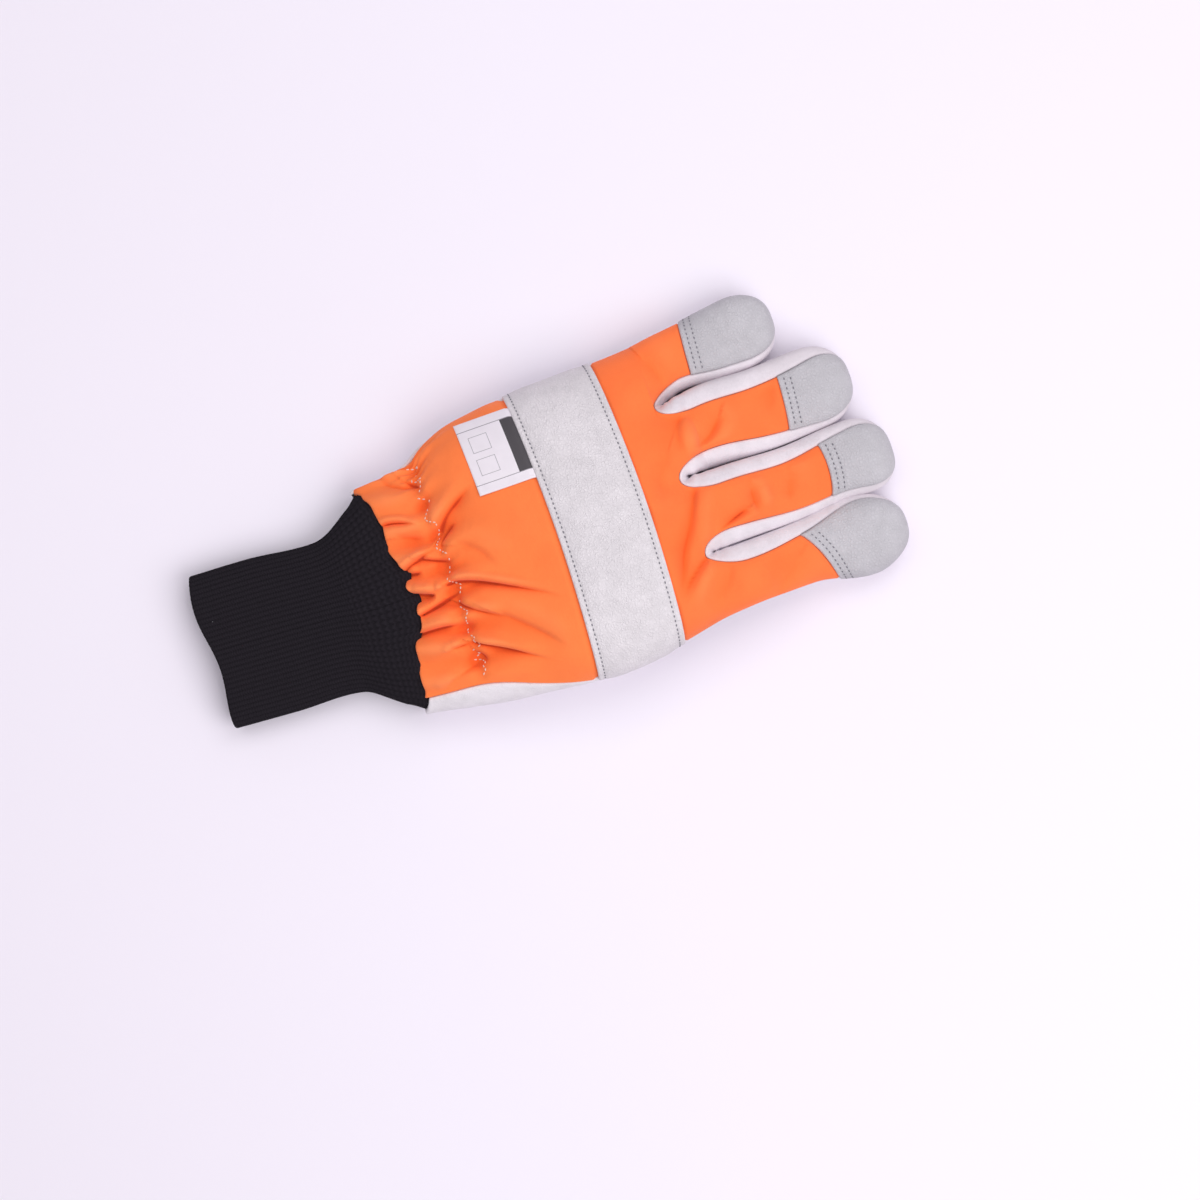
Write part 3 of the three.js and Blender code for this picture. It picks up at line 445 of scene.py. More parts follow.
def finger_round(f, reach, angle):
    """A finger by its reach, 0 at the crotch and 1 at the tip, and the angle round it from the top."""
    turn = turn_of(f, reach)
    distance = distance_of(f, reach)
    at = distance / length_of(f)
    x = HAND_LENGTH + distance
    north = PALM_WIDTH * along(f["sections"], "north", at)
    south = PALM_WIDTH * along(f["sections"], "south", at)
    closing = np.cos(turn) ** 0.8
    middle = (north + south) / 2
    half = (north - south) / 2 * np.maximum(0.1, closing)
    low = underside(x, middle)
    tall = FINGER_HEIGHT * along(f["sections"], "tall", at)
    r = roundness(angle, FINGER_POWER)
    rise = np.where(np.cos(angle) > 0, 0.54, 0.46) * tall
    return stack(x, middle + half * r * np.sin(angle), low + 0.46 * tall + rise * closing * r * np.cos(angle))


def finger_normal(f, reach, angle):
    return normal_of(lambda a, b: finger_round(f, a, b), np.minimum(0.995, reach), angle, 0.004, 0.01)


def back_edges(f, reach):
    at = distance_of(f, reach) / length_of(f)
    north = angle_at(along(f["sections"], "back_north", at), FINGER_POWER)
    south = -angle_at(along(f["sections"], "back_south", at), FINGER_POWER)
    return north, south


def hand_angle_at(x, y, power):
    middle, half, *_ = hand_section(x)
    return angle_at((y - middle) / half, power)


def splits(power):
    return [SIDE, *(hand_angle_at(HAND_LENGTH, c * PALM_WIDTH, power) for c in CROTCHES), -SIDE]


BACK_SPLITS = splits(BACK_POWER)
PALM_SPLITS = splits(PALM_POWER)
TRIM = HAND_HEIGHT * 0.86 / 2


def inset(start, end, t, radius, trim_start, trim_end):
    trim = SEAM_GAP / 2 / radius
    return mix(start - trim * trim_start, end + trim * trim_end, t)


def hand_share(splits, i, t):
    """Angles across the hand in one finger's share of it."""
    return inset(splits[i], splits[i + 1], t, TRIM, i == 0, i == 3)


def parted(distance):
    share = np.clip(distance / CROTCH_ROUND, 0, 1)
    return np.sqrt(1 - (1 - share) ** 2)


def opened(i, distance, t):
    """How far a place has gone over from the hand to a finger: at once beside a crotch, slowly elsewhere."""
    outer = ((i == 0) & (t < 0.5)) | ((i == 3) & (t > 0.5))
    beside = np.where(outer, 0, np.abs(2 * t - 1) ** 3)
    return mix(smooth(distance, 0, CROTCH_ROUND), parted(distance), beside)[..., None]


def onto_finger(f, reach, angle, point, normal, share):
    """A place and its normal, a share of the way from the hand to a finger."""
    normal = unit(mix(normal, finger_normal(f, reach, angle), share))
    return mix(point, finger_round(f, reach, angle), share), normal


def bowed(x, angle):
    """Rows across the back bow forward, most at the wrist seam."""
    bow = np.where(
        x < ELASTIC_AT,
        mix(WRIST_BOW, 1.5, np.maximum(0, x) / ELASTIC_AT),
        np.where(
            x < STRAP_AT,
            mix(1.5, STRAP_BOW, (x - ELASTIC_AT) / (STRAP_AT - ELASTIC_AT)),
            STRAP_BOW * (1 - smooth(x, STRAP_END, HAND_LENGTH)),
        ),
    )
    return x + bow * np.cos(angle) ** 2


def south_angle(x):
    return -SIDE * np.minimum(1, along(HAND, "wrap", x / HAND_LENGTH))


def back_of_hand(x, angle):
    return hand_top(x, angle), normal_of(hand_top, x, angle, 0.5, 0.01)


def back_of_finger(i, reach, t):
    f = FINGERS[i]
    distance = distance_of(f, reach)
    hand_angle = hand_share(BACK_SPLITS, i, t)
    north, south = back_edges(f, reach)
    angle = inset(north, south, t, FINGER_HEIGHT / 2, True, True)
    point, normal = back_of_hand(HAND_LENGTH + distance, hand_angle)
    share = opened(i, distance, t)
    return onto_finger(f, reach, angle, point, normal, share)


def palm_of_hand(x, angle):
    """The palm side, which goes on up the thumb side past -90 degrees."""
    up = -PI - angle
    on_side = (angle < -SIDE)[..., None]
    top, top_normal = back_of_hand(bowed(x, up), up)
    low = hand_under(x, angle)
    low_normal = normal_of(hand_under, x, angle, 0.5, 0.01, -1)
    return np.where(on_side, top, low), np.where(on_side, top_normal, low_normal)


def palm_of_finger(i, reach, t):
    f = FINGERS[i]
    distance = distance_of(f, reach)
    hand_angle = hand_share(PALM_SPLITS, i, t)
    cover = angle_at(PALM_SIDE_COVER, FINGER_POWER)
    north = SIDE if i == 0 else cover
    south = -SIDE if i == 3 else -cover
    angle = PI - inset(north, south, t, FINGER_HEIGHT / 2, True, True)
    point, normal = palm_of_hand(HAND_LENGTH + distance, hand_angle)
    share = opened(i, distance, t)
    return onto_finger(f, reach, angle, point, normal, share)


def cap_reach(i, t):
    """Reach of the slanted edge where a finger's leather cap starts."""
    f = FINGERS[i]
    north, middle, south = f["cap"]
    share = mix(north, south, t) + (middle - (north + south) / 2) * 4 * t * (1 - t)
    return share * per_length(f) * length_of(f)


def per_length(f):
    """Reach for each millimetre of a finger's straight part."""
    return straight_share(f) / (length_of(f) - tip_of(f))


def thumb_point(row, angle):
    def get(column):
        return along(THUMB, column, row, "row")

    south = stack(get("south_x") * HAND_LENGTH, get("south_y") * PALM_WIDTH, 0)
    north = stack(get("north_x") * HAND_LENGTH, get("north_y") * PALM_WIDTH, 0)
    r = roundness(angle, THUMB_POWER)
    point = mix(south, north, (0.5 + 0.5 * r * np.sin(angle))[..., None])
    x, y = point[..., 0], point[..., 1]
    room = underside(x, np.minimum(y, thumb_edge(x))) - THUMB_CLEARANCE
    press = np.where(np.cos(angle) < 0, THUMB_PRESS, 1)
    plump = get("plump")
    height = 0.5 * np.minimum(1, plump + 0.15) + 0.5 * plump * press * r * np.cos(angle)
    return stack(x, y, np.maximum(0, room * height))


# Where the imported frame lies, from the glove's own measure.
def frame_origin():
    x, t = lattice(np.linspace(STRAP_AT, STRAP_END, 9), steps(40))
    points, normals = back_of_hand(bowed(x, mix(SIDE, -SIDE, t)), mix(SIDE, -SIDE, t))
    across = (points + normals * STRAP_PROUD)[..., 1]
    low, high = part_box("knuckle_strap")
    y = (low[1] + high[1]) / 2 / MM - (across.min() + across.max()) / 2
    return np.array([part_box("knit_cuff")[0][0] / MM + CUFF_LENGTH, y, 0])


ORIGIN = frame_origin()


# Meshes from grids of places. A place has its point, its outward normal, its two flat coordinates in
# millimetres and how much painted shade it has, below 0 a painted highlight.
POINT = slice(0, 3)
NORMAL = slice(3, 6)
FLAT = slice(6, 8)
PAINTED_SHADE = 8


def grid_of(place, flat, lift=0, painted_shade=0):
    """A grid of places, lifted off the surface along its normals."""
    points, normals = place
    shape = points.shape[:2]
    lifted = points + normals * np.broadcast_to(lift, shape)[..., None]
    rest = [np.broadcast_to(values, shape)[..., None] for values in (*flat, painted_shade)]
    return np.concatenate([lifted, normals, *rest], axis=-1)


def across_hand(place, x, angle, lift, painted_shade=0):
    """A grid across the hand, laid flat by its x and its angle."""
    return grid_of(place, (x, angle * PALM_WIDTH / 2), lift, painted_shade)


def weld(grids, keep=None):
    """Places and quads of grids that share their edges."""
    quads = []
    start = 0
    for grid in grids:
        rows, columns = grid.shape[:2]
        number = start + np.arange(rows * columns).reshape(rows, columns)
        cells = np.stack([number[:-1, :-1], number[:-1, 1:], number[1:, 1:], number[1:, :-1]], axis=-1)
        quads.append(cells.reshape(-1, 4) if keep is None else cells[keep])
        start += rows * columns
    places = np.concatenate([grid.reshape(-1, grid.shape[-1]) for grid in grids])
    rounded = np.round(places[:, POINT], 3)
    _, first, inverse = np.unique(rounded, axis=0, return_index=True, return_inverse=True)
    used, quads = np.unique(inverse.reshape(-1)[np.concatenate(quads)], return_inverse=True)
    quads = quads.reshape(-1, 4)
    sorted_quads = np.sort(quads, axis=1)
    whole = (np.diff(sorted_quads, axis=1) > 0).all(axis=1)
    return places[first][used], quads[whole]


def closed(places, quads, thickness):
    """A closed wall: the sheet, its inner side and the rim between them."""
    count = len(places)
    starts = quads.reshape(-1)
    ends = np.roll(quads, -1, axis=1).reshape(-1)
    rim = ~np.isin(starts * count + ends, ends * count + starts)
    a, b = starts[rim], ends[rim]
    sides = np.stack([b, a, a + count, b + count], axis=-1)
    inner = places.copy()
    inner[:, POINT] -= places[:, NORMAL] * thickness
    return np.concatenate([places, inner]), np.concatenate([quads, quads[:, ::-1] + count, sides])


def linked(name, data):
    made = bpy.data.objects.new(name, data)
    bpy.context.scene.collection.objects.link(made)
    return made


def mesh_piece(name, places, faces, material, replaced=()):
    """A piece on the glove from places in millimetres, riding on the frame."""
    mesh = bpy.data.meshes.new(name)
    mesh.from_pydata(((places[:, POINT] + ORIGIN) * MM).tolist(), [], faces)
    if places.shape[1] > PAINTED_SHADE:
        corners = np.zeros(len(mesh.loops), int)
        mesh.loops.foreach_get("vertex_index", corners)
        layer = mesh.uv_layers.new(name="flat")
        layer.data.foreach_set("uv", places[corners, FLAT].astype(np.float32).reshape(-1))
        # Each place's painted shade, which the materials read; below 0 it is a painted highlight.
        depth = mesh.attributes.new("painted_shade", "FLOAT", "POINT")
        depth.data.foreach_set("value", places[:, PAINTED_SHADE].astype(np.float32))
    mesh.shade_smooth()
    mesh.materials.append(material)
    piece = linked(name, mesh)
    outward(mesh)
    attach(piece, "root")
    if replaced:
        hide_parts(*replaced)
    return piece


def outward(mesh):
    """Turns a closed mesh's faces outward if they point in."""
    mesh.calc_loop_triangles()
    corners = np.zeros(len(mesh.loop_triangles) * 3, int)
    mesh.loop_triangles.foreach_get("vertices", corners)
    places = np.zeros(len(mesh.vertices) * 3)
    mesh.vertices.foreach_get("co", places)
    a, b, c = places.reshape(-1, 3)[corners.reshape(-1, 3)].transpose(1, 0, 2)
    if np.einsum("ij,ij->i", a, np.cross(b, c)).sum() < 0:
        mesh.flip_normals()


def wall_piece(name, grids, thickness, material, replaced, keep=None):
    places, faces = closed(*weld(grids, keep), thickness)
    return mesh_piece(name, places, faces.tolist(), material, replaced)


# Shader maths.
def operation(kind):
    return lambda self, other: self.math(kind, self, other)


class Shade:
    """A socket of a material. Sums and products of it add Math nodes."""

    def __init__(self, paint, socket):
        self.paint = paint
        self.socket = socket

    def math(self, kind, first, second=0):
        return self.paint.node("ShaderNodeMath", {"operation": kind}, {0: first, 1: second})

    __add__ = __radd__ = operation("ADD")
    __mul__ = __rmul__ = operation("MULTIPLY")
    __sub__ = operation("SUBTRACT")
    __gt__ = operation("GREATER_THAN")
    __lt__ = operation("LESS_THAN")

    def __rsub__(self, other):
        return self.math("SUBTRACT", other, self)

    def __abs__(self):
        return self.math("ABSOLUTE", self)

    def sine(self):
        return self.math("SINE", self)


class Paint:
    """A material and the nodes of its surface."""

    def __init__(self, name, **constants):
        self.material = bpy.data.materials.new(name)
        self.material.use_nodes = True
        self.tree = self.material.node_tree
        self.shader = self.tree.nodes["Principled BSDF"]
        for key, value in constants.items():
            self.shader.inputs[key.replace("_", " ")].default_value = value

    def node(self, kind, settings=None, values=None, output=0):
        made = self.tree.nodes.new(kind)
        for key, value in (settings or {}).items():
            setattr(made, key, value)
        for key, value in (values or {}).items():
            self.set(made.inputs[key], value)
        return Shade(self, made.outputs[output])

    def set(self, socket, value):
        if isinstance(value, Shade):
            self.tree.links.new(value.socket, socket)
        else:
            socket.default_value = value

    def place(self):
        """Position on the object in metres."""
        return self.node("ShaderNodeTexCoord", output="Object")

    def flat(self):
        """The cloth's flat coordinates in millimetres."""
        uv = self.node("ShaderNodeUVMap", {"uv_map": "flat"})
        split = self.node("ShaderNodeSeparateXYZ", values={0: uv})
        return split, Shade(self, split.socket.node.outputs[1])

    def noise(self, size, detail=2, where=None, **values):
        """Noise whose features are about size millimetres across."""
        settings = {"Scale": 1 / (size * MM), "Detail": detail, "Vector": where or self.place(), **values}
        return self.node("ShaderNodeTexNoise", values=settings)

    def cells(self, size, feature="DISTANCE_TO_EDGE"):
        values = {"Scale": 1 / (size * MM), "Vector": self.place()}
        return self.node("ShaderNodeTexVoronoi", {"feature": feature}, values)

    def depth(self):
        """How much painted shade a place has: in creases, hollows and seams, and below 0 a painted highlight
        on the cloth's ridges.
        """
        return self.node("ShaderNodeAttribute", {"attribute_name": "painted_shade"}, output=2)

    def blend(self, share, first, second):
        """A colour between two, by a share."""
        settings = {"data_type": "RGBA", "clamp_factor": True}
        return self.node("ShaderNodeMix", settings, {0: share, 6: first, 7: second}, 2)

    def ease(self, value, low, high):
        values = {"Value": value, "From Min": low, "From Max": high}
        return self.node("ShaderNodeMapRange", {"interpolation_type": "SMOOTHSTEP"}, values)

    def finish(self, colour, roughness, height, depth):
        """The material, with its colour, its roughness and relief of the given depth in millimetres."""
        values = {"Height": height * (depth * MM), "Distance": 1, "Strength": 1}
        relief = self.node("ShaderNodeBump", values=values)
        for name, value in (("Base Color", colour), ("Roughness", roughness), ("Normal", relief)):
            self.set(self.shader.inputs[name], value)
        return self.material


def solid(colour, shade=1):
    return (*(min(1, c * shade) for c in colour), 1)


def woven(u, v, pitch):
    return (u * (2 * PI / pitch)).sine() * (v * (2 * PI / pitch)).sine()


def orange_cloth(name, colour, sizes, colours):
    # Painted light: the cloth glows a little in its own colour, so that its shaded parts stay orange.
    painted_glow = {"Emission_Color": solid(colour), "Emission_Strength": 0.1}
    paint = Paint(name, Specular_IOR_Level=0.2, Sheen_Weight=0.1, Sheen_Roughness=0.5, **painted_glow)
    weave = woven(*paint.flat(), 0.62)
    fine = paint.noise(1.1)
    tone = paint.ease(paint.noise(16, 3) * 0.7 + fine * 0.3, 0.35, 0.65)
    # Painted shade from the attribute: a painted highlight where the cloth stands up, painted shade in its
    # hollows and the darkest painted shade in the cores of its creases.
    painted_shade = paint.depth()
    body = paint.blend(tone, solid(colour, 0.95), solid(colour, 1.04))
    body = paint.blend(paint.ease(painted_shade * -1, 0, 0.5), body, solid(colours.ridge))
    body = paint.blend(paint.ease(painted_shade, 0, 0.75), body, solid(colours.painted_hollow_shade))
    body = paint.blend(paint.ease(painted_shade, 0.5, 1), body, solid(colours.painted_shade))
    relief = weave * 0.25 + paint.noise(3.4, 3) * 1.6 + fine * 0.5
    return paint.finish(body, 0.74 + 0.14 * fine, relief, sizes.cloth_grain / MM)


def pale_leather(name, colour, sizes, grain=1, wrinkle=1, pebble=0.85):
    paint = Paint(name, Specular_IOR_Level=0.35)
    patches = paint.noise(6, 3)
    pebbles = paint.ease(paint.cells(pebble), 0, 0.3)
    leaning = {"Vector": paint.place(), "Scale": (1, 0.6, 1), "Rotation": (0, 0, 0.9)}
    folds = paint.noise(2.2, 2, paint.node("ShaderNodeMapping", values=leaning), Distortion=0.25)
    lines = 1 - paint.ease(abs(folds - 0.5), 0, 0.06)
    tone = paint.ease(patches * 0.5 + paint.noise(30, 3) * 0.5, 0.36, 0.64)
    body = paint.blend(tone, solid(colour, 0.94), solid(colour, 1.04))
    # Darker along the grain's fold lines and between its pebbles.
    darker_in_grooves = paint.blend(lines * (0.07 * wrinkle) + (1 - pebbles) * (0.1 * grain), body, solid(colour, 0.6))
    # Painted shade where the attribute marks it: along the caps' rolled-in edges and in the dents of the
    # stitch rows.
    painted_seam_shade = paint.blend(paint.depth(), darker_in_grooves, solid(colour, 0.36))
    relief = pebbles * (0.5 * grain) + paint.noise(0.4) * 0.5 + patches * 1.2 - lines * (0.55 * wrinkle)
    return paint.finish(painted_seam_shade, 0.5 + 0.2 * patches, relief, sizes.leather_grain / MM)


def black_knit(sizes, colours):
    paint = Paint("black_knit", Specular_IOR_Level=0.08)
    u, v = paint.flat()
    leg = abs((v * (PI * sizes.rib_count)).sine())
    loops = (u * (2 * PI / 1.1) + leg * 2.2).sine() * 0.5 + 0.5
    fuzz = paint.noise(0.7, 3)
    tone = paint.blend(loops * 0.3 + fuzz * 0.7, solid(colours.knit, 0.5), solid(colours.knit, 1.6))
    speck = 1 - paint.ease(paint.cells(13, "F1"), 0.016, 0.024)
    specked = paint.blend(speck * 0.5, tone, (0.5, 0.5, 0.52, 1))
    return paint.finish(specked, 0.88 + 0.1 * fuzz, loops * 0.4 + fuzz * 0.9, 0.16)


def thread(name, colour):
    paint = Paint(name)
    ply = paint.noise(0.35, 1)
    tone = paint.blend(ply, solid(colour, 0.7), solid(colour, 1.2))
    return paint.finish(tone, 0.6 + 0.2 * ply, ply, 0.05)


def label_tape(colours):
    """Woven tape with a plain dark band, two plain rules and two empty boxes."""
    paint = Paint("label_tape")
    u, v = paint.flat()

    def bar(value, low, high):
        return (value > low) * (value < high)

    def box(low_u, high_u, low_v, high_v, line=0.25):
        outer = bar(u, low_u, high_u) * bar(v, low_v, high_v)
        inner = bar(u, low_u + line, high_u - line) * bar(v, low_v + line, high_v - line)
        return outer - inner

    top, bottom = 4.2, LABEL_WIDTH - 4.2
    band = bar(u, LABEL_LENGTH - 6.1, LABEL_LENGTH - 1) * bar(v, top, bottom)
    rules = bar(u, 0, LABEL_LENGTH) * (bar(v, top - 0.3, top) + bar(v, bottom, bottom + 0.3))
    boxes = box(3.5, 11, 7.2, 14.2) + box(3.5, 11, 17, 24)
    weave = woven(u, v, 0.5)
    tape = paint.blend(paint.noise(5), solid(colours.label, 0.94), solid(colours.label, 1.03))
    ruled = paint.blend(rules * 0.75 + boxes * 0.6, tape, (0.12, 0.11, 0.13, 1))
    banded = paint.blend(band, ruled, (0.06, 0.052, 0.06, 1))
    return paint.finish(banded, 0.45 + 0.1 * weave, weave, 0.03)


def pale_floor(colours):
    paint = Paint("pale_floor", Roughness=0.6)
    tone = paint.blend(paint.noise(300, 1), solid(colours.floor, 0.985), solid(colours.floor))
    paint.set(paint.shader.inputs["Base Color"], tone)
    return paint.material


# How the cloth lies.
def nearest(x, y, path_x, path_y):
    """Distance to a path, the side of it and the share of the way along it."""
    best = np.full((3, *x.shape), np.inf)
    last = len(path_x) - 1
    for k in range(last):
        dx, dy = path_x[k + 1] - path_x[k], path_y[k + 1] - path_y[k]
        t = np.clip(((x - path_x[k]) * dx + (y - path_y[k]) * dy) / (dx * dx + dy * dy), 0, 1)
        gap_x, gap_y = x - path_x[k] - t * dx, y - path_y[k] - t * dy
        here = np.stack([np.hypot(gap_x, gap_y), np.sign(gap_x * dy - gap_y * dx), (k + t) / last])
        best = np.where(here[0] < best[0], here, best)
    return best


def crease_lift(x, y, sizes):
    """The lift that the creases give, and the painted shade in the creases' thin cores."""
    lift = np.zeros(x.shape)
    shade = np.zeros(x.shape)
    s = np.linspace(0, 1, 9)
    for row in range(len(CREASES["depth"])):
        c = {name: values[row] for name, values in CREASES.items()}

        def path(axis):
            start, bend, end = c[f"from_{axis}"], c[f"bend_{axis}"], c[f"to_{axis}"]
            return start * (1 - s) * (1 - 2 * s) + bend * 4 * s * (1 - s) + end * s * (2 * s - 1)

        away, side, at = nearest(x, y, path("x") * HAND_LENGTH, path("y") * PALM_WIDTH)
        w = CREASE_WIDTH * c["width"]
        ends = smooth(at, -0.35, 0.22) * smooth(1 - at, -0.05, 0.45)
        depth = sizes.crease_depth / MM * c["depth"] * ends
        gentle = np.exp(-((away / (1.7 * w)) ** 1.15))
        steep = bell(away, 0.5 * w)
        beside = bell(away - 2.0 * w, 1.3 * w)
        lift += depth * np.where(side > 0, -gentle, 0.5 * beside - steep)
        crisp = np.clip(1.45 - 0.6 * c["width"], 0, 1)
        shade += 0.6 * crisp * c["depth"] * ends * bell(away, 0.25 + 0.2 * w)
    return lift, np.minimum(1, shade)


def lumps(x, y, size, seed=0.0):
    """Slow unevenness between -1 and 1, about size millimetres from lump to lump."""
    a, b = 2 * PI * x / size, 2 * PI * y / size
    waves = (a + 0.6 * b + seed, 0.7 * b - 0.5 * a + 2 * seed, 1.3 * b + 3 * seed)
    return sum(np.sin(wave) for wave in waves) / 3


def cloth_relief(x, y, inner, sizes, size, seed=0, gathers=0):
    """The cloth's lift, and its painted shade: above 0 painted shade in hollows and creases, below 0 a
    painted highlight on ridges.
    """
    creases, core = crease_lift(x, y, sizes)
    relief = inner * (gathers + creases + 0.7 * lumps(x, y, size, seed))
    return relief, np.minimum(1, core + np.clip(-0.18 * relief, -0.5, 0.62))


def gather_lift(x, angle, sizes):
    """Ruffles that the elastic draws up, puffed out on its wrist side, with finer puckers along it."""
    away = (x - ELASTIC_AT) / HAND_LENGTH
    strength = bell(away, np.where(away > 0, 0.09, 0.3)) * (1 - 0.45 * smooth(angle, 0.2, 0.9))
    wave = np.cos(2 * RUFFLE_COUNT * angle + 1.4 * np.sin(3 * angle) + 9 * away)
    groove = ELASTIC_GROOVE * bell(away, 0.022)
    pucker = np.cos(54 * angle + 2.3 * np.sin(5 * angle) - 22 * away) * bell(away, 0.05)
    ripple = np.cos(34 * angle + 2.7 * np.sin(4 * angle) + 15 * away) * bell(away, 0.12)
    puff = 1.3 * bell(away + 0.11, 0.004**0.5)
    return sizes.gather_depth / MM * (strength * (wave - 0.4) + 0.25 * pucker + 0.3 * ripple) - groove + puff


def scallop(angle):
    """How far the wrist seam wanders between the ruffles."""
    across = roundness(angle, BACK_POWER) * np.sin(angle)
    wander = WRIST_BOW * along(WRIST_SEAM, "forward", across, "across")
    return wander + 0.35 * np.cos(2 * RUFFLE_COUNT * angle)


def tucked(proud):
    return proud - LEATHER - 0.3


def wrist_cloth_place(x, t, sizes):
    """A place on the wrist cloth, with its lift."""
    angle = inset(SIDE, south_angle(x), t, TRIM, True, True)
    forward = bowed(x, angle) + scallop(angle) * (1 - smooth(x, 0, 14))
    place = back_of_hand(forward, angle)
    stop = x / STRAP_AT
    inner = smooth(np.minimum(t, 1 - t), 0, 0.07) * (1 - smooth(stop, 0.85, 1))
    gathers = gather_lift(forward, angle, sizes)
    relief, shade = cloth_relief(forward, place[0][..., 1], inner, sizes, 34, gathers=gathers)
    lift = relief + tuck(nearer_edge(t, 2 * PALM_WIDTH * 0.6)) + tuck(x, 1.6, 1.1)
    under = smooth(stop, 0.965, 0.995)
    return place, mix(lift, tucked(STRAP_PROUD), under), angle, shade * (1 - under)


# The pieces.
def leather_piece(name, grids, material, keep=None):
    return wall_piece(f"{name}_dressed", grids, LEATHER, material, [name], keep)


def cloth_piece(name, grids, material):
    return wall_piece(f"{name}_dressed", grids, CLOTH, material, [name])


def make_wrist_cloth(sizes, material):
    rows = np.concatenate([[0, 0.15, 0.4, 0.8, 1.3], np.linspace(2, STRAP_AT + LAP, 138)])
    x, t = lattice(rows, steps(320, 120))
    place, lift, angle, shade = wrist_cloth_place(x, t, sizes)
    return cloth_piece("back_wrist_cloth", [across_hand(place, x, angle, lift, shade)], material)


def strap_place(x, t):
    angle = inset(SIDE, south_angle(x), t, TRIM, True, True)
    return back_of_hand(bowed(x, angle), angle), angle


def make_strap(material):
    x, t = lattice(STRAP_AT + STRAP_WIDTH * steps(60, STRAP_WIDTH), steps(220, 130))
    place, angle = strap_place(x, t)
    edge = np.minimum(x - STRAP_AT, STRAP_END - x)
    row = bell(edge - STRAP_ROW, 0.8)
    swell = 0.35 * smooth(edge, STRAP_ROW, 9)
    lift = STRAP_PROUD + tuck(edge, 0.9, 0.7) - 0.28 * row + swell
    # Painted shade in the dent of each stitch row.
    return leather_piece("knuckle_strap", [across_hand(place, x, angle, lift, 0.1 * row)], material)


def share_columns(edges, count, last=None):
    """Angles across the hand in the four fingers' shares, with the shares' own columns."""
    t = steps(count, 27)
    if last is not None:
        edges = [*edges[:4], last]
    parts = [hand_share(edges, i, t) for i in range(4)]
    return np.concatenate([parts[0], *(part[1:] for part in parts[1:])])


def finger_rows(start, end, t, count):
    """Rows of reach to an end that may differ across the finger, closer together at a crotch."""
    share = np.linspace(0, 1, count)[:, None]
    reach = mix(start, end, share if start else share**1.7) + 0 * t
    return reach, t + 0 * reach


def make_finger_cloth(sizes, material):
    rows = np.concatenate([[STRAP_END - LAP], np.linspace(STRAP_END, HAND_LENGTH, 46)])
    x, angle = lattice(rows, share_columns(BACK_SPLITS, 44))
    forward = bowed(x, angle)
    place = back_of_hand(forward, angle)
    relief, shade = cloth_relief(forward, place[0][..., 1], off_side(angle), sizes, 30, 1)
    lift = mix(tucked(STRAP_PROUD), relief, smooth(x, STRAP_END - 0.2, STRAP_END + 1.5))
    grids = [across_hand(place, x, angle, lift, shade)]
    for i, f in enumerate(FINGERS):
        t = steps(44, 27)
        reach, t = finger_rows(0, cap_reach(i, t) + 3.5 * per_length(f), t, 100)
        place = back_of_finger(i, reach, t)
        apart = parted(distance_of(f, reach))
        past = (reach - cap_reach(i, t)) / per_length(f)
        x, y = place[0][..., 0], place[0][..., 1]
        inner = mix(off_side(hand_share(BACK_SPLITS, i, t)), smooth(np.minimum(t, 1 - t), 0, 0.2), apart)
        relief, shade = cloth_relief(x, y, inner, sizes, 30, 1)
        lift = apart * tuck(nearer_edge(t, CLOTH_FLAT), 1.6, 1.2) + relief
        lift = mix(lift, tucked(CAP_PROUD), smooth(past, -0.8, 0.2))
        grids.append(grid_of(place, (HAND_LENGTH + distance_of(f, reach), y), lift, shade))
    return cloth_piece("back_finger_cloth", grids, material)


def make_cap(i, material):
    f = FINGERS[i]
    past, t = lattice(steps(56, 38), steps(44, 28))
    reach = mix(cap_reach(i, t), 1, past)
    place = back_of_finger(i, reach, t)
    edge = nearer_edge(t, CAP_FLAT)
    along_edge = (reach - cap_reach(i, t)) / per_length(f)
    rows = sum(bell(along_edge - row, 0.7) for row in CAP_ROWS)
    lift = CAP_PROUD * (1 - smooth(past, 0.7, 1)) + tuck(edge, 1.3, 0.9) + tuck(along_edge, 0.8, 0.6)
    lift = lift - 0.2 * rows * smooth(edge, 0.5, 2)
    # Painted shade along the cap's rolled-in edges at the seams and in the dents of its stitch rows.
    seam = 0.45 * bell(edge, 0.4) + 0.1 * rows
    grid = grid_of(place, (along_edge, t * CAP_FLAT), lift, np.minimum(1, seam))
    return leather_piece(f"{f['name']}_cap", [grid], material)


def strip_place(i, side, reach, p):
    """A place on a side strip: p runs from the back's edge to the palm's."""
    f = FINGERS[i]
    north, south = back_edges(f, reach)
    cover = angle_at(PALM_SIDE_COVER, FINGER_POWER)
    trim = SEAM_GAP / FINGER_HEIGHT
    start = north if side > 0 else -south
    angle = side * mix(start + trim, PI - cover - trim, p)
    distance = distance_of(f, reach)
    split = i if side > 0 else i + 1
    x = HAND_LENGTH + distance
    down = mix(0.03, 0.97, p)
    top, top_normal = back_of_hand(x, np.full(x.shape, BACK_SPLITS[split]))
    low, low_normal = palm_of_hand(x, np.full(x.shape, PALM_SPLITS[split]))
    share = parted(distance)[..., None]
    crotch = mix(top, low, down[..., None])
    crotch[..., 0] += CROTCH_WEB * np.sin(PI * down)
    facing = np.cos(PI * down)[..., None]
    outward_x = stack(np.sin(PI * down), 0, 0)
    crotch_normal = unit(np.where(facing > 0, top_normal, low_normal) * np.abs(facing) + outward_x)
    return onto_finger(f, reach, angle, crotch, crotch_normal, share)


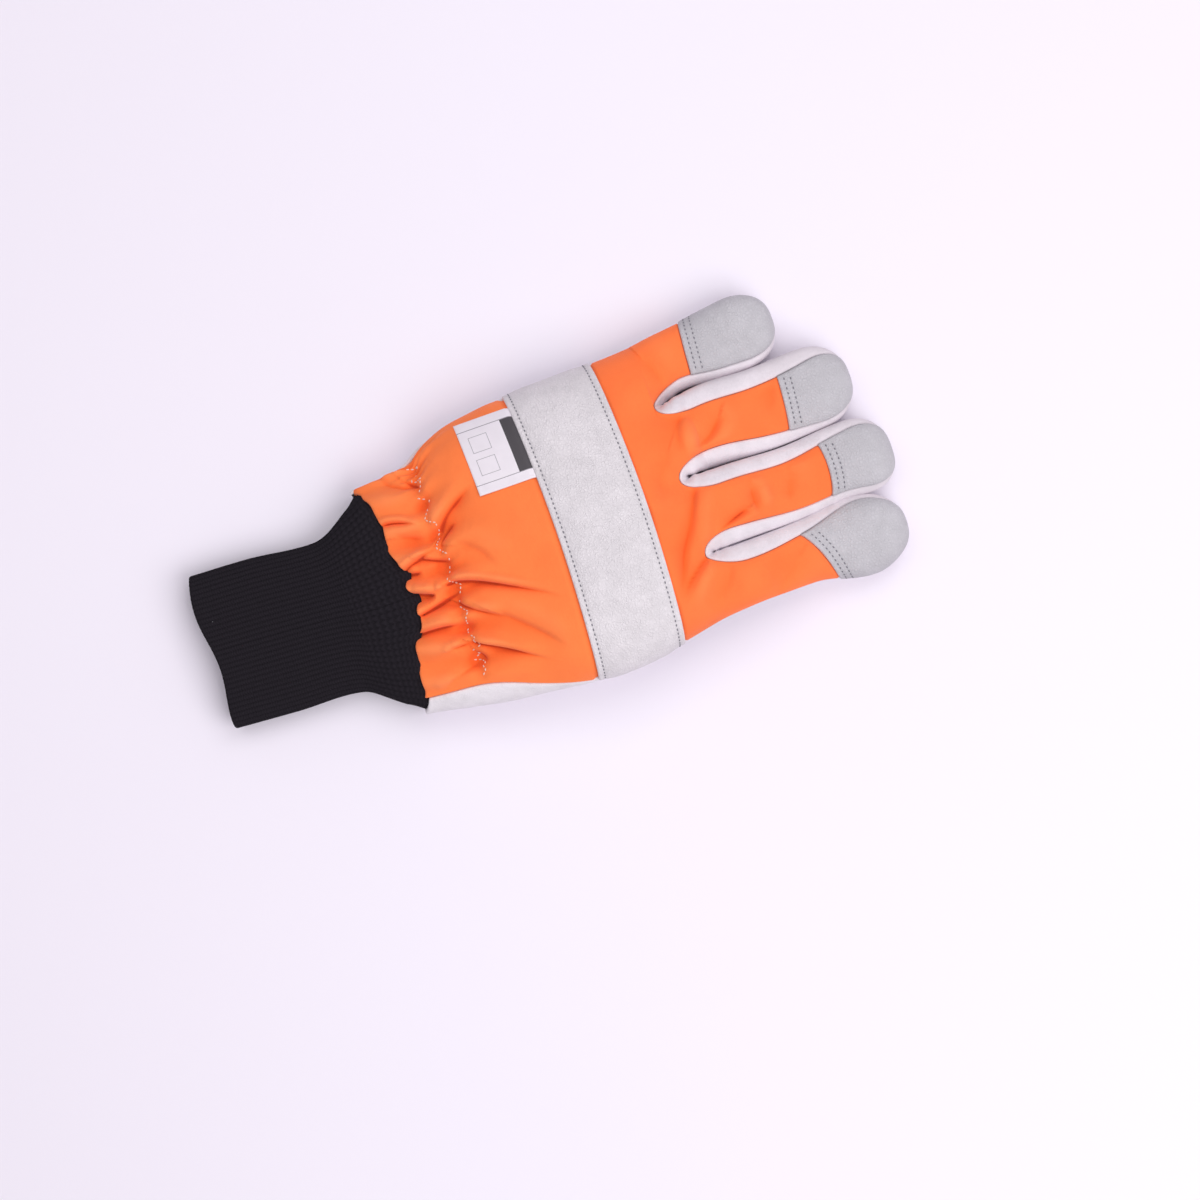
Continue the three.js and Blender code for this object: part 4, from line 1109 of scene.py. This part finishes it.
def make_side_strip(i, material):
    grids = []
    for finger, side in ((i, -1), (i + 1, 1)):
        f = FINGERS[finger]
        reach, p = finger_rows(0, 1, steps(22, 16), 100)
        place = strip_place(finger, side, reach, p)
        distance = distance_of(f, reach)
        wrinkle = 0.45 * np.sin(distance / 1.1 + 3 * i) * bell(distance, 9) * np.sin(PI * p)
        roll = 1.15 * bell(p - 0.26, 0.17) * smooth(distance, -1, 5)
        lift = tuck(nearer_edge(p, STRIP_FLAT), 1.3, 0.9) + wrinkle + roll * (1 - smooth(reach, 0.75, 0.95))
        if side < 0:
            place = (place[0][::-1], place[1][::-1])
            lift, distance, p = lift[::-1], -distance[::-1], p[::-1]
        grids.append(grid_of(place, (distance, p * STRIP_FLAT), lift))
    name = f"{FINGERS[i]['name']}_{FINGERS[i + 1]['name']}_side_strip"
    return leather_piece(name, grids, material)


def palm_rows(stops, count, past_side=True):
    """Places on the palm for rows of x, out to the cloth's edge on the thumb side."""
    angles = np.stack(
        [share_columns(PALM_SPLITS, count, -PI - south_angle(x) if past_side else -SIDE) for x in stops]
    )
    x = np.asarray(stops)[:, None] + 0 * angles
    return palm_of_hand(x, angles), x, angles


def make_palm_heel(material):
    wrist_end = np.array([0.1, 0.4, 0.9, 1.5])
    band_end = PALM_BAND_AT - np.array([0.9, 0.5, 0.2, 0.06])
    stops = np.concatenate([wrist_end, np.linspace(2.1, PALM_BAND_AT - 1.4, 70), band_end])
    place, x, angles = palm_rows(stops, 26)
    edge = np.minimum(PALM_BAND_AT - x, x)
    south = np.abs(angles - angles[:, -1:]) * TRIM
    beyond = 1.6 * bell(x - ELASTIC_AT - 3, 8) * smooth(angles, 1.1, 1.5)
    lift = tuck(edge, 1.2, 0.8) + tuck(south, 1.3, 0.9) + beyond
    grid = across_hand(place, x, angles, lift)
    y = place[0][..., 1]
    (low_x, high_x), (low_y, high_y) = THUMB_HOLE
    hole = (x > low_x) & (x < high_x) & (np.cos(angles) > 0.7) & (y > low_y) & (y < high_y)
    return leather_piece("palm_heel", [grid], material, ~hole[:-1, :-1])


def make_palm_band(material):
    stops = PALM_BAND_AT + PALM_BAND_WIDTH * steps(50, PALM_BAND_WIDTH)
    place, x, angles = palm_rows(stops, 26)
    edge = np.minimum(x - PALM_BAND_AT, PALM_BAND_END - x)
    dents = sum(bell(x - PALM_BAND_AT - row, 0.7) for row in BAND_ROWS)
    grid = across_hand(place, x, angles, tuck(edge, 1.2, 0.8) - 0.2 * dents)
    return leather_piece("palm_band", [grid], material)


def palm_finger_grid(i, first=0.0):
    f = FINGERS[i]
    reach, t = finger_rows(first * per_length(f), 1, steps(26, 27), 80)
    place = palm_of_finger(i, reach, t)
    distance = distance_of(f, reach)
    lift = tuck(nearer_edge(t, PALM_FLAT), 1.3, 0.9) * parted(distance)
    if first:
        lift = lift + tuck(distance - first, 1.2, 0.8)
    return grid_of(place, (HAND_LENGTH + distance, place[0][..., 1]), lift)


def make_palm_front(material):
    band_end = PALM_BAND_END + np.array([0.06, 0.3, 0.7, 1.2])
    stops = np.concatenate([band_end, np.linspace(126, HAND_LENGTH, 9)])
    place, x, angles = palm_rows(stops, 26, False)
    hand = across_hand(place, x, angles, tuck(x - PALM_BAND_END, 1.2, 0.8))
    return leather_piece("palm_front", [hand, palm_finger_grid(0), palm_finger_grid(3)], material)


def make_palm_finger(i, material):
    return leather_piece(f"palm_{FINGERS[i]['name']}_finger", [palm_finger_grid(i, 0.35)], material)


def make_thumb(material):
    rows = np.linspace(0, len(THUMB["row"]) - 1, 110)
    opening = angle_at(along(THUMB, "open", rows, "row"), THUMB_POWER)[:, None]
    t = steps(120, 130)
    angle = mix(opening, 2 * PI - opening, t)
    row = rows[:, None] + 0 * angle
    inside = np.clip(row, 0.02, len(THUMB["row"]) - 1.02)
    normals = normal_of(thumb_point, inside, angle, 0.02, 0.01)
    points = thumb_point(row, angle)
    x, y, z = points[..., 0], points[..., 1], points[..., 2]
    heel = hand_under(x, hand_angle_at(x, y, PALM_POWER))[..., 2]
    seam = smooth(t, 0.9, 1) * (1 - smooth(row, 3.4, 4.6))
    points[..., 2] = z + seam * np.maximum(0, heel - SEAM_GAP - z)
    lift = tuck(nearer_edge(t, 120), 1.3, 0.8)
    return leather_piece("thumb", [grid_of((points, normals), (row * 12, angle * 25), lift)], material)


def cuff_shape(x, angle):
    at = 1 + x / CUFF_LENGTH
    half = CUFF_WIDTH / 2 * along(CUFF, "width", at)
    r = roundness(angle, BACK_POWER)
    top = CUFF_HEIGHT * along(CUFF, "top", at)
    y = CUFF_WIDTH * along(CUFF, "middle", at) + half * r * np.sin(angle)
    return stack(x, y, top / 2 * (1 + r * np.cos(angle)))


def seam_loop(angle):
    """The wrist seam, which the knit runs in under."""
    upper = np.cos(angle) >= 0
    wander = scallop(angle) * smooth(np.cos(angle), -0.02, 0.2)
    x = np.where(upper, bowed(0 * angle, angle) + wander, 0) + 2.4
    return np.where(upper[..., None], hand_top(x, angle), hand_under(x, PI - angle))


def make_cuff(sizes, material):
    ribs = sizes.rib_count
    around = ribs * 8
    share = np.arange(around) / around
    rows = np.concatenate([[0, 0.004, 0.012], np.linspace(0.025, 1, 62)])
    fine = np.linspace(0, 2 * PI, 721)
    outer, inner = [], []
    for s in rows:
        x = (s - 1) * CUFF_LENGTH
        blend = smooth(s, 0.8, 1.0)
        seam_depth = 2.0 * smooth(s, 0.925, 0.985)

        def loop(angle):
            shape = mix(cuff_shape(x + 0 * angle, angle), seam_loop(angle), blend)
            sway = 0.4 - 1.4 * np.cos(2 * PI * (shape[..., 1] - 18) / 50)
            shape[..., 0] += sway * (1 - s) ** 2
            return shape

        line = loop(fine)
        length = np.concatenate([[0], np.cumsum(np.linalg.norm(np.diff(line, axis=0), axis=1))])
        angle = np.interp(share * length[-1], length, fine)
        points = loop(angle)
        tangent = loop(angle + 0.02) - loop(angle - 0.02)
        normal = unit(stack(0, -tangent[:, 2], tangent[:, 1]))
        normal = normal * np.sign((normal * (points - points.mean(axis=0)))[:, 1:].sum())
        ridge = (np.sqrt(np.abs(np.sin(PI * ribs * share))) - 1) * (1 - 0.8 * smooth(s, 0.9, 0.97))
        rim = -0.9 if s == 0 else -0.25 if s < 0.01 else 0
        outer.append(points + normal * (ridge * sizes.rib_depth / MM + rim - seam_depth)[:, None])
        inner.append(points - normal * (KNIT + 0.3 * ridge + rim + seam_depth * 0.6)[:, None])
    outer, inner = np.array(outer), np.array(inner)
    count = len(rows)
    number = np.arange(count * around).reshape(count, around)
    ahead = np.roll(number, -1, axis=1)
    skin = np.stack([number[:-1], ahead[:-1], ahead[1:], number[1:]], axis=-1).reshape(-1, 4)
    lining = skin[:, ::-1] + count * around
    ends = [(ahead[0], number[0]), (number[-1], ahead[-1])]
    rims = [np.stack([a, b, b + count * around, a + count * around], axis=-1) for a, b in ends]
    faces = np.concatenate([skin, lining, *rims])
    flat = (rows[:, None] * CUFF_LENGTH, share[None, :])
    sides = [grid_of((side, 0 * side), flat).reshape(-1, PAINTED_SHADE + 1) for side in (outer, inner)]
    places = np.concatenate(sides)
    return mesh_piece("knit_cuff_dressed", places, faces.tolist(), material, ["knit_cuff"])


def make_label(material):
    u, v = lattice(steps(30, LABEL_LENGTH), steps(36, LABEL_WIDTH))
    y = LABEL_MIDDLE * PALM_WIDTH + (0.5 - v) * LABEL_WIDTH
    x = STRAP_AT + 1.2 - (1 - u) * (LABEL_LENGTH + 1.2)
    angle = hand_angle_at(x, y, BACK_POWER)
    edge = np.minimum(nearer_edge(v, LABEL_WIDTH), u * LABEL_LENGTH)
    lift = 0.5 + LABEL_THICKNESS + tuck(edge, 0.6, 0.4)
    lift = lift - 1.2 * smooth(x, STRAP_AT - 1.5, STRAP_AT + 1)
    place = back_of_hand(bowed(x, angle), angle)
    grid = grid_of(place, (u * LABEL_LENGTH, v * LABEL_WIDTH), lift)
    return wall_piece("back_label_dressed", [grid], LABEL_THICKNESS, material, ["back_label"])


# Stitches.
SIDES = 6
PROFILE = ((-0.5, 0.35), (-0.36, 0.85), (0, 1), (0.36, 0.85), (0.5, 0.35))


def stitch_run(points, normals, pitch, start=0.5):
    """Places, directions and normals of stitches at an even pitch on a path."""
    gaps = np.linalg.norm(np.diff(points, axis=0), axis=1)
    length = np.concatenate([[0], np.cumsum(gaps)])
    places = np.arange(pitch * start, length[-1], pitch)

    def at(values, offset=0.0):
        return np.stack([np.interp(places + offset, length, values[:, k]) for k in range(3)], axis=-1)

    return at(points), unit(at(points, 0.3) - at(points, -0.3)), unit(at(normals))


def make_stitches(name, runs, length, thickness, material):
    """One mesh of small rounded stitches."""
    centres, ways, ups = (np.concatenate([run[k] for run in runs]) for k in range(3))
    ups = unit(ups - ways * (ups * ways).sum(axis=1, keepdims=True))
    sides = np.cross(ways, ups)
    turn = 2 * PI * np.arange(SIDES) / SIDES
    rings = []
    for place, fat in PROFILE:
        ring = centres[:, None] + ways[:, None] * (place * length)
        spread = sides[:, None] * np.cos(turn)[:, None] + ups[:, None] * np.sin(turn)[:, None]
        rings.append(ring + spread * (fat * thickness / 2))
    points = np.stack(rings, axis=1).reshape(-1, 3)
    block = len(PROFILE) * SIDES
    faces = []
    for k in range(len(centres)):
        base = k * block
        for ring in range(len(PROFILE) - 1):
            a = base + ring * SIDES
            for j in range(SIDES):
                b = (j + 1) % SIDES
                faces.append((a + j, a + b, a + SIDES + b, a + SIDES + j))
        faces.append(tuple(base + j for j in reversed(range(SIDES))))
        faces.append(tuple(base + block - SIDES + j for j in range(SIDES)))
    return mesh_piece(name, points, faces, material)


def leather_stitches(name, runs, sizes, material):
    length, thickness = sizes.stitch_length / MM, sizes.stitch_thickness / MM
    return make_stitches(f"{name}_stitches", runs, length, thickness, material)


def row_run(place, lift, sizes, start=0.5):
    """A row of stitches at the set pitch along a line of places."""
    points, normals = place
    return stitch_run(points + normals * lift, normals, sizes.stitch_pitch / MM, start)


def strap_runs(sizes):
    t = np.linspace(0.012, 0.985, 400)
    rows = (STRAP_AT + STRAP_ROW, STRAP_END - STRAP_ROW)
    return [row_run(strap_place(x + 0 * t, t)[0], STRAP_PROUD - 0.2, sizes) for x in rows]


def cap_runs(i, sizes):
    runs = []
    t = np.linspace(0.06, 0.94, 120)
    for k, row in enumerate(CAP_ROWS):
        reach = cap_reach(i, t) + row * per_length(FINGERS[i])
        runs.append(row_run(back_of_finger(i, reach, t), CAP_PROUD - 0.14, sizes, 0.5 + 0.5 * k))
    return runs


def band_runs(sizes):
    runs = []
    for k, row in enumerate(BAND_ROWS):
        place, _, _ = palm_rows([PALM_BAND_AT + row], 200)
        runs.append(row_run([a[0][3:-3] for a in place], -0.14, sizes, 0.5 + 0.5 * (k % 2)))
    return runs


def tip_runs(i):
    """Small overcast stitches across the seam round a fingertip."""
    runs = []
    for t in (0.0, 1.0):
        reach = np.linspace(0.74, 0.995, 60)
        points, normals = back_of_finger(i, reach, t + 0 * reach)
        centres, ways, ups = stitch_run(points, normals, 2.0)
        runs.append((centres - ups * 0.35, np.cross(ups, ways), ups))
    return runs


def elastic_runs(sizes):
    """Zigzag of the elastic's thread: a long leg and a short one, with a few stitches sunk in the cloth."""
    t = np.linspace(0.14, 0.985, 900)
    across = t * 118
    sway = 2.3 * np.interp((across / 11 + 0.08 * np.sin(across / 7)) % 1, [0, 0.67, 1], [1, -1, 1])
    tangle = smooth(t, 0.8, 0.85) * (1 - smooth(t, 0.91, 0.95))
    sway = sway + tangle * 1.7 * np.sin(across * 1.7)
    x = ELASTIC_AT + sway
    (points, normals), lift, _, _ = wrist_cloth_place(x, t, sizes)
    centres, ways, ups = stitch_run(points + normals * (lift + 0.05)[:, None], normals, 2.0)
    number = np.arange(len(centres))
    shown = np.sin(number * 2.4) + 0.8 * np.sin(number * 0.55 + 1) > -0.75
    return [(centres[shown], ways[shown], ups[shown])]


# Settings, operators and panel.
def length_property(name, description, default):
    return FloatProperty(name=name, description=description, default=default, unit="LENGTH")


def colour_property(name, description, default):
    return FloatVectorProperty(
        name=name, description=description, default=default, subtype="COLOR", size=3, min=0, max=1
    )


class GloveSizes(bpy.types.PropertyGroup):
    """Sizes that change the look of the glove."""

    rib_count: IntProperty(name="Ribs", description="Knit ribs round the cuff", default=70, min=20, max=140)
    rib_depth: length_property("Rib depth", "Depth of the grooves between the ribs", 0.0007)
    gather_depth: length_property("Gather depth", "Depth of the ruffles at the elastic", 0.0019)
    crease_depth: length_property("Crease depth", "Depth of the creases in the cloth", 0.0027)
    cloth_grain: length_property("Cloth grain", "Relief of the cloth's surface", 0.00012)
    leather_grain: length_property("Leather grain", "Relief of the leather's grain", 0.00016)
    stitch_pitch: length_property("Stitch pitch", "From one stitch to the next", 0.0021)
    stitch_length: length_property("Stitch length", "Length of one stitch", 0.00105)
    stitch_thickness: length_property("Thread", "Thickness of the thread", 0.0006)


class GloveColours(bpy.types.PropertyGroup):
    """Colours of the glove and its floor."""

    cloth: colour_property("Wrist cloth", "Colour of the cloth at the wrist", (0.95, 0.205, 0.053))
    finger_cloth: colour_property("Finger cloth", "Colour of the cloth on the fingers", (0.94, 0.178, 0.045))
    # Painted highlight on the cloth's ridges.
    ridge: colour_property("Ridges", "Colour of the cloth where it stands up", (0.96, 0.245, 0.08))
    # Painted shade in the cloth's hollows.
    painted_hollow_shade: colour_property("Hollows", "Colour of the cloth where it dips", (0.85, 0.11, 0.015))
    # Painted shade in the cores of the cloth's creases.
    painted_shade: colour_property("Creases", "Colour deep in the cloth's creases", (0.5, 0.025, 0.002))
    leather: colour_property("Strap", "Colour of the strap's leather", (0.75, 0.705, 0.735))
    caps: colour_property("Caps", "Colour of the leather at the fingertips", (0.54, 0.52, 0.555))
    # The leather's own colour, made a touch pinker than the strap as a painted reflection of the orange
    # cloth.
    strips: colour_property("Side strips", "Colour of the leather between the fingers", (0.75, 0.685, 0.735))
    palm: colour_property("Palm", "Colour of the palm's leather", (0.84, 0.79, 0.83))
    knit: colour_property("Knit", "Colour of the knit cuff", (0.0155, 0.013, 0.017))
    stitching: colour_property("Stitching", "Colour of the leather's thread", (0.22, 0.21, 0.24))
    elastic: colour_property("Elastic thread", "Colour of the elastic's thread", (0.95, 0.6, 0.49))
    label: colour_property("Label", "Colour of the label", (0.87, 0.81, 0.87))
    floor: colour_property("Floor", "Colour of the floor", (0.88, 0.825, 0.915))


class PieceOperator:
    """What the glove's operators share."""

    bl_options = {"REGISTER", "UNDO"}

    def settings(self, context):
        return context.scene.glove_sizes, context.scene.glove_colours


class GLOVE_OT_knit_cuff(PieceOperator, bpy.types.Operator):
    """Make the ribbed knit cuff"""

    bl_idname = "glove.knit_cuff"
    bl_label = "Knit Cuff"

    def execute(self, context):
        sizes, colours = self.settings(context)
        make_cuff(sizes, black_knit(sizes, colours))
        return {"FINISHED"}


class GLOVE_OT_cloth_back(PieceOperator, bpy.types.Operator):
    """Make the two pieces of the cloth back and the elastic's thread"""

    bl_idname = "glove.cloth_back"
    bl_label = "Cloth Back"

    def execute(self, context):
        sizes, colours = self.settings(context)
        wrist = make_wrist_cloth(sizes, orange_cloth("wrist_cloth", colours.cloth, sizes, colours))
        fingers = make_finger_cloth(sizes, orange_cloth("finger_cloth", colours.finger_cloth, sizes, colours))
        pale = thread("elastic_thread", colours.elastic)
        make_stitches("elastic_stitches", elastic_runs(sizes), 1.2, 0.66, pale)
        return {"FINISHED"}


class GLOVE_OT_knuckle_strap(PieceOperator, bpy.types.Operator):
    """Make the leather strap over the knuckles, with its stitching"""

    bl_idname = "glove.knuckle_strap"
    bl_label = "Knuckle Strap"

    def execute(self, context):
        sizes, colours = self.settings(context)
        make_strap(pale_leather("strap_leather", colours.leather, sizes, 1.4, 0.9, 1.2))
        leather_stitches("strap", strap_runs(sizes), sizes, thread("strap_thread", colours.stitching))
        return {"FINISHED"}


class GLOVE_OT_finger_caps(PieceOperator, bpy.types.Operator):
    """Make the four fingertip caps, with their stitching"""

    bl_idname = "glove.finger_caps"
    bl_label = "Finger Caps"

    def execute(self, context):
        sizes, colours = self.settings(context)
        leather = pale_leather("cap_leather", colours.caps, sizes, 1.5, 0.5, 1.3)
        dark = thread("cap_thread", colours.stitching)
        for i, f in enumerate(FINGERS):
            make_cap(i, leather)
            leather_stitches(f"{f['name']}_cap", cap_runs(i, sizes), sizes, dark)
            make_stitches(f"{f['name']}_tip_stitches", tip_runs(i), 0.9, 0.5, leather)
        return {"FINISHED"}


class GLOVE_OT_side_strips(PieceOperator, bpy.types.Operator):
    """Make the three leather strips between the fingers"""

    bl_idname = "glove.side_strips"
    bl_label = "Side Strips"

    def execute(self, context):
        sizes, colours = self.settings(context)
        leather = pale_leather("strip_leather", colours.strips, sizes, 0.3, 0.4)
        for i in range(3):
            make_side_strip(i, leather)
        return {"FINISHED"}


class GLOVE_OT_palm(PieceOperator, bpy.types.Operator):
    """Make the leather pieces of the palm and the thumb"""

    bl_idname = "glove.palm"
    bl_label = "Palm and Thumb"

    def execute(self, context):
        sizes, colours = self.settings(context)
        leather = pale_leather("palm_leather", colours.palm, sizes, 0.8, 0.6)
        make_palm_heel(leather)
        make_palm_band(leather)
        make_palm_front(leather)
        make_palm_finger(1, leather)
        make_palm_finger(2, leather)
        make_thumb(leather)
        leather_stitches("palm_band", band_runs(sizes), sizes, thread("palm_thread", colours.stitching))
        return {"FINISHED"}


class GLOVE_OT_label(PieceOperator, bpy.types.Operator):
    """Make the plain sewn-in label"""

    bl_idname = "glove.label"
    bl_label = "Label"

    def execute(self, context):
        make_label(label_tape(context.scene.glove_colours))
        return {"FINISHED"}


# The stage, in metres and degrees, with the view's centre in the glove's millimetres. A light has its
# name, its place from that centre, its size and its watts.
VIEW_AZIMUTH = -19
VIEW_ELEVATION = 90
VIEW_DISTANCE = 1.25
VIEW_WIDTH = 0.502
VIEW_CENTRE = (84.8, -31.5, 18)
FLOOR_REACH = 4
SKY_COLOUR = (0.95, 0.92, 0.98, 1)
SKY_STRENGTH = 0.44
LIGHTS = (
    ("key_light", (0.5, -0.62, 1.1), 1.1, 11.2),
    ("side_light", (0.6, 0.7, 1.3), 0.9, 5),
    ("top_light", (-0.45, 0.6, 1.5), 1.4, 5.5),
)


def view_direction(azimuth, elevation):
    """From the glove towards a camera that looks along +Y at azimuth 0."""
    a, e = np.radians(azimuth), np.radians(elevation)
    return Vector((np.sin(a) * np.cos(e), -np.cos(a) * np.cos(e), np.sin(e)))


def aim(thing, towards, up=(0, 1, 0)):
    """Turns a camera or light to look back at a point."""
    back = (thing.location - towards).normalized()
    right = Vector(up).cross(back).normalized()
    thing.rotation_euler = Matrix((right, back.cross(right), back)).transposed().to_euler()


class GLOVE_OT_stage(PieceOperator, bpy.types.Operator):
    """Make the floor, the lights and the camera"""

    bl_idname = "glove.stage"
    bl_label = "Stage"

    def execute(self, context):
        colours = context.scene.glove_colours
        mesh = bpy.data.meshes.new("floor")
        corners = [(x * FLOOR_REACH, y * FLOOR_REACH, 0) for x, y in ((-1, -1), (1, -1), (1, 1), (-1, 1))]
        mesh.from_pydata(corners, [], [(0, 1, 2, 3)])
        mesh.materials.append(pale_floor(colours))
        linked("floor", mesh)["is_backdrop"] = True

        centre = Vector((np.array(VIEW_CENTRE) + ORIGIN) * MM)
        camera = linked("camera", bpy.data.cameras.new("camera"))
        camera.location = centre + view_direction(VIEW_AZIMUTH, VIEW_ELEVATION) * VIEW_DISTANCE
        level = np.radians(VIEW_AZIMUTH)
        aim(camera, centre, (-np.sin(level), np.cos(level), 0))
        camera.data.sensor_fit = "HORIZONTAL"
        camera.data.sensor_width = 36
        camera.data.lens = 36 * VIEW_DISTANCE / VIEW_WIDTH
        camera.data.clip_start = 0.05
        camera.data.clip_end = 20
        context.scene.camera = camera

        for name, place, size, power in LIGHTS:
            light = linked(name, bpy.data.lights.new(name, "AREA"))
            light.data.size = size
            light.data.energy = power
            light.location = centre + Vector(place)
            aim(light, centre)

        world = bpy.data.worlds.new("studio")
        context.scene.world = world
        world.use_nodes = True
        sky = world.node_tree.nodes["Background"]
        sky.inputs["Color"].default_value = SKY_COLOUR
        sky.inputs["Strength"].default_value = SKY_STRENGTH
        context.scene.view_settings.view_transform = "Standard"
        return {"FINISHED"}


class GLOVE_PT_panel(bpy.types.Panel):
    """Lists the glove's pieces and settings"""

    bl_idname = "GLOVE_PT_panel"
    bl_label = "Forestry Glove"
    bl_space_type = "VIEW_3D"
    bl_region_type = "UI"
    bl_category = "Glove"

    def draw(self, context):
        layout = self.layout
        for settings in (context.scene.glove_sizes, context.scene.glove_colours):
            box = layout.box()
            for name in settings.__class__.__annotations__:
                box.prop(settings, name)
        for operator in OPERATORS:
            layout.operator(operator.bl_idname)


OPERATORS = (
    GLOVE_OT_stage,
    GLOVE_OT_knit_cuff,
    GLOVE_OT_cloth_back,
    GLOVE_OT_label,
    GLOVE_OT_knuckle_strap,
    GLOVE_OT_finger_caps,
    GLOVE_OT_side_strips,
    GLOVE_OT_palm,
)
CLASSES = (GloveSizes, GloveColours, *OPERATORS, GLOVE_PT_panel)


def register():
    for cls in CLASSES:
        bpy.utils.register_class(cls)
    bpy.types.Scene.glove_sizes = PointerProperty(type=GloveSizes)
    bpy.types.Scene.glove_colours = PointerProperty(type=GloveColours)


def unregister():
    del bpy.types.Scene.glove_colours
    del bpy.types.Scene.glove_sizes
    for cls in reversed(CLASSES):
        bpy.utils.unregister_class(cls)


def main():
    register()
    bpy.ops.glove.stage()
    bpy.ops.glove.knit_cuff()
    bpy.ops.glove.cloth_back()
    bpy.ops.glove.label()
    bpy.ops.glove.knuckle_strap()
    bpy.ops.glove.finger_caps()
    bpy.ops.glove.side_strips()
    bpy.ops.glove.palm()
    boxes = {"cad": CAD_BOX, "visual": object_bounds()}
    {name: [[float(c) for c in corner] for corner in box] for name, box in boxes.items()}


if __name__ == "__main__":
    main()
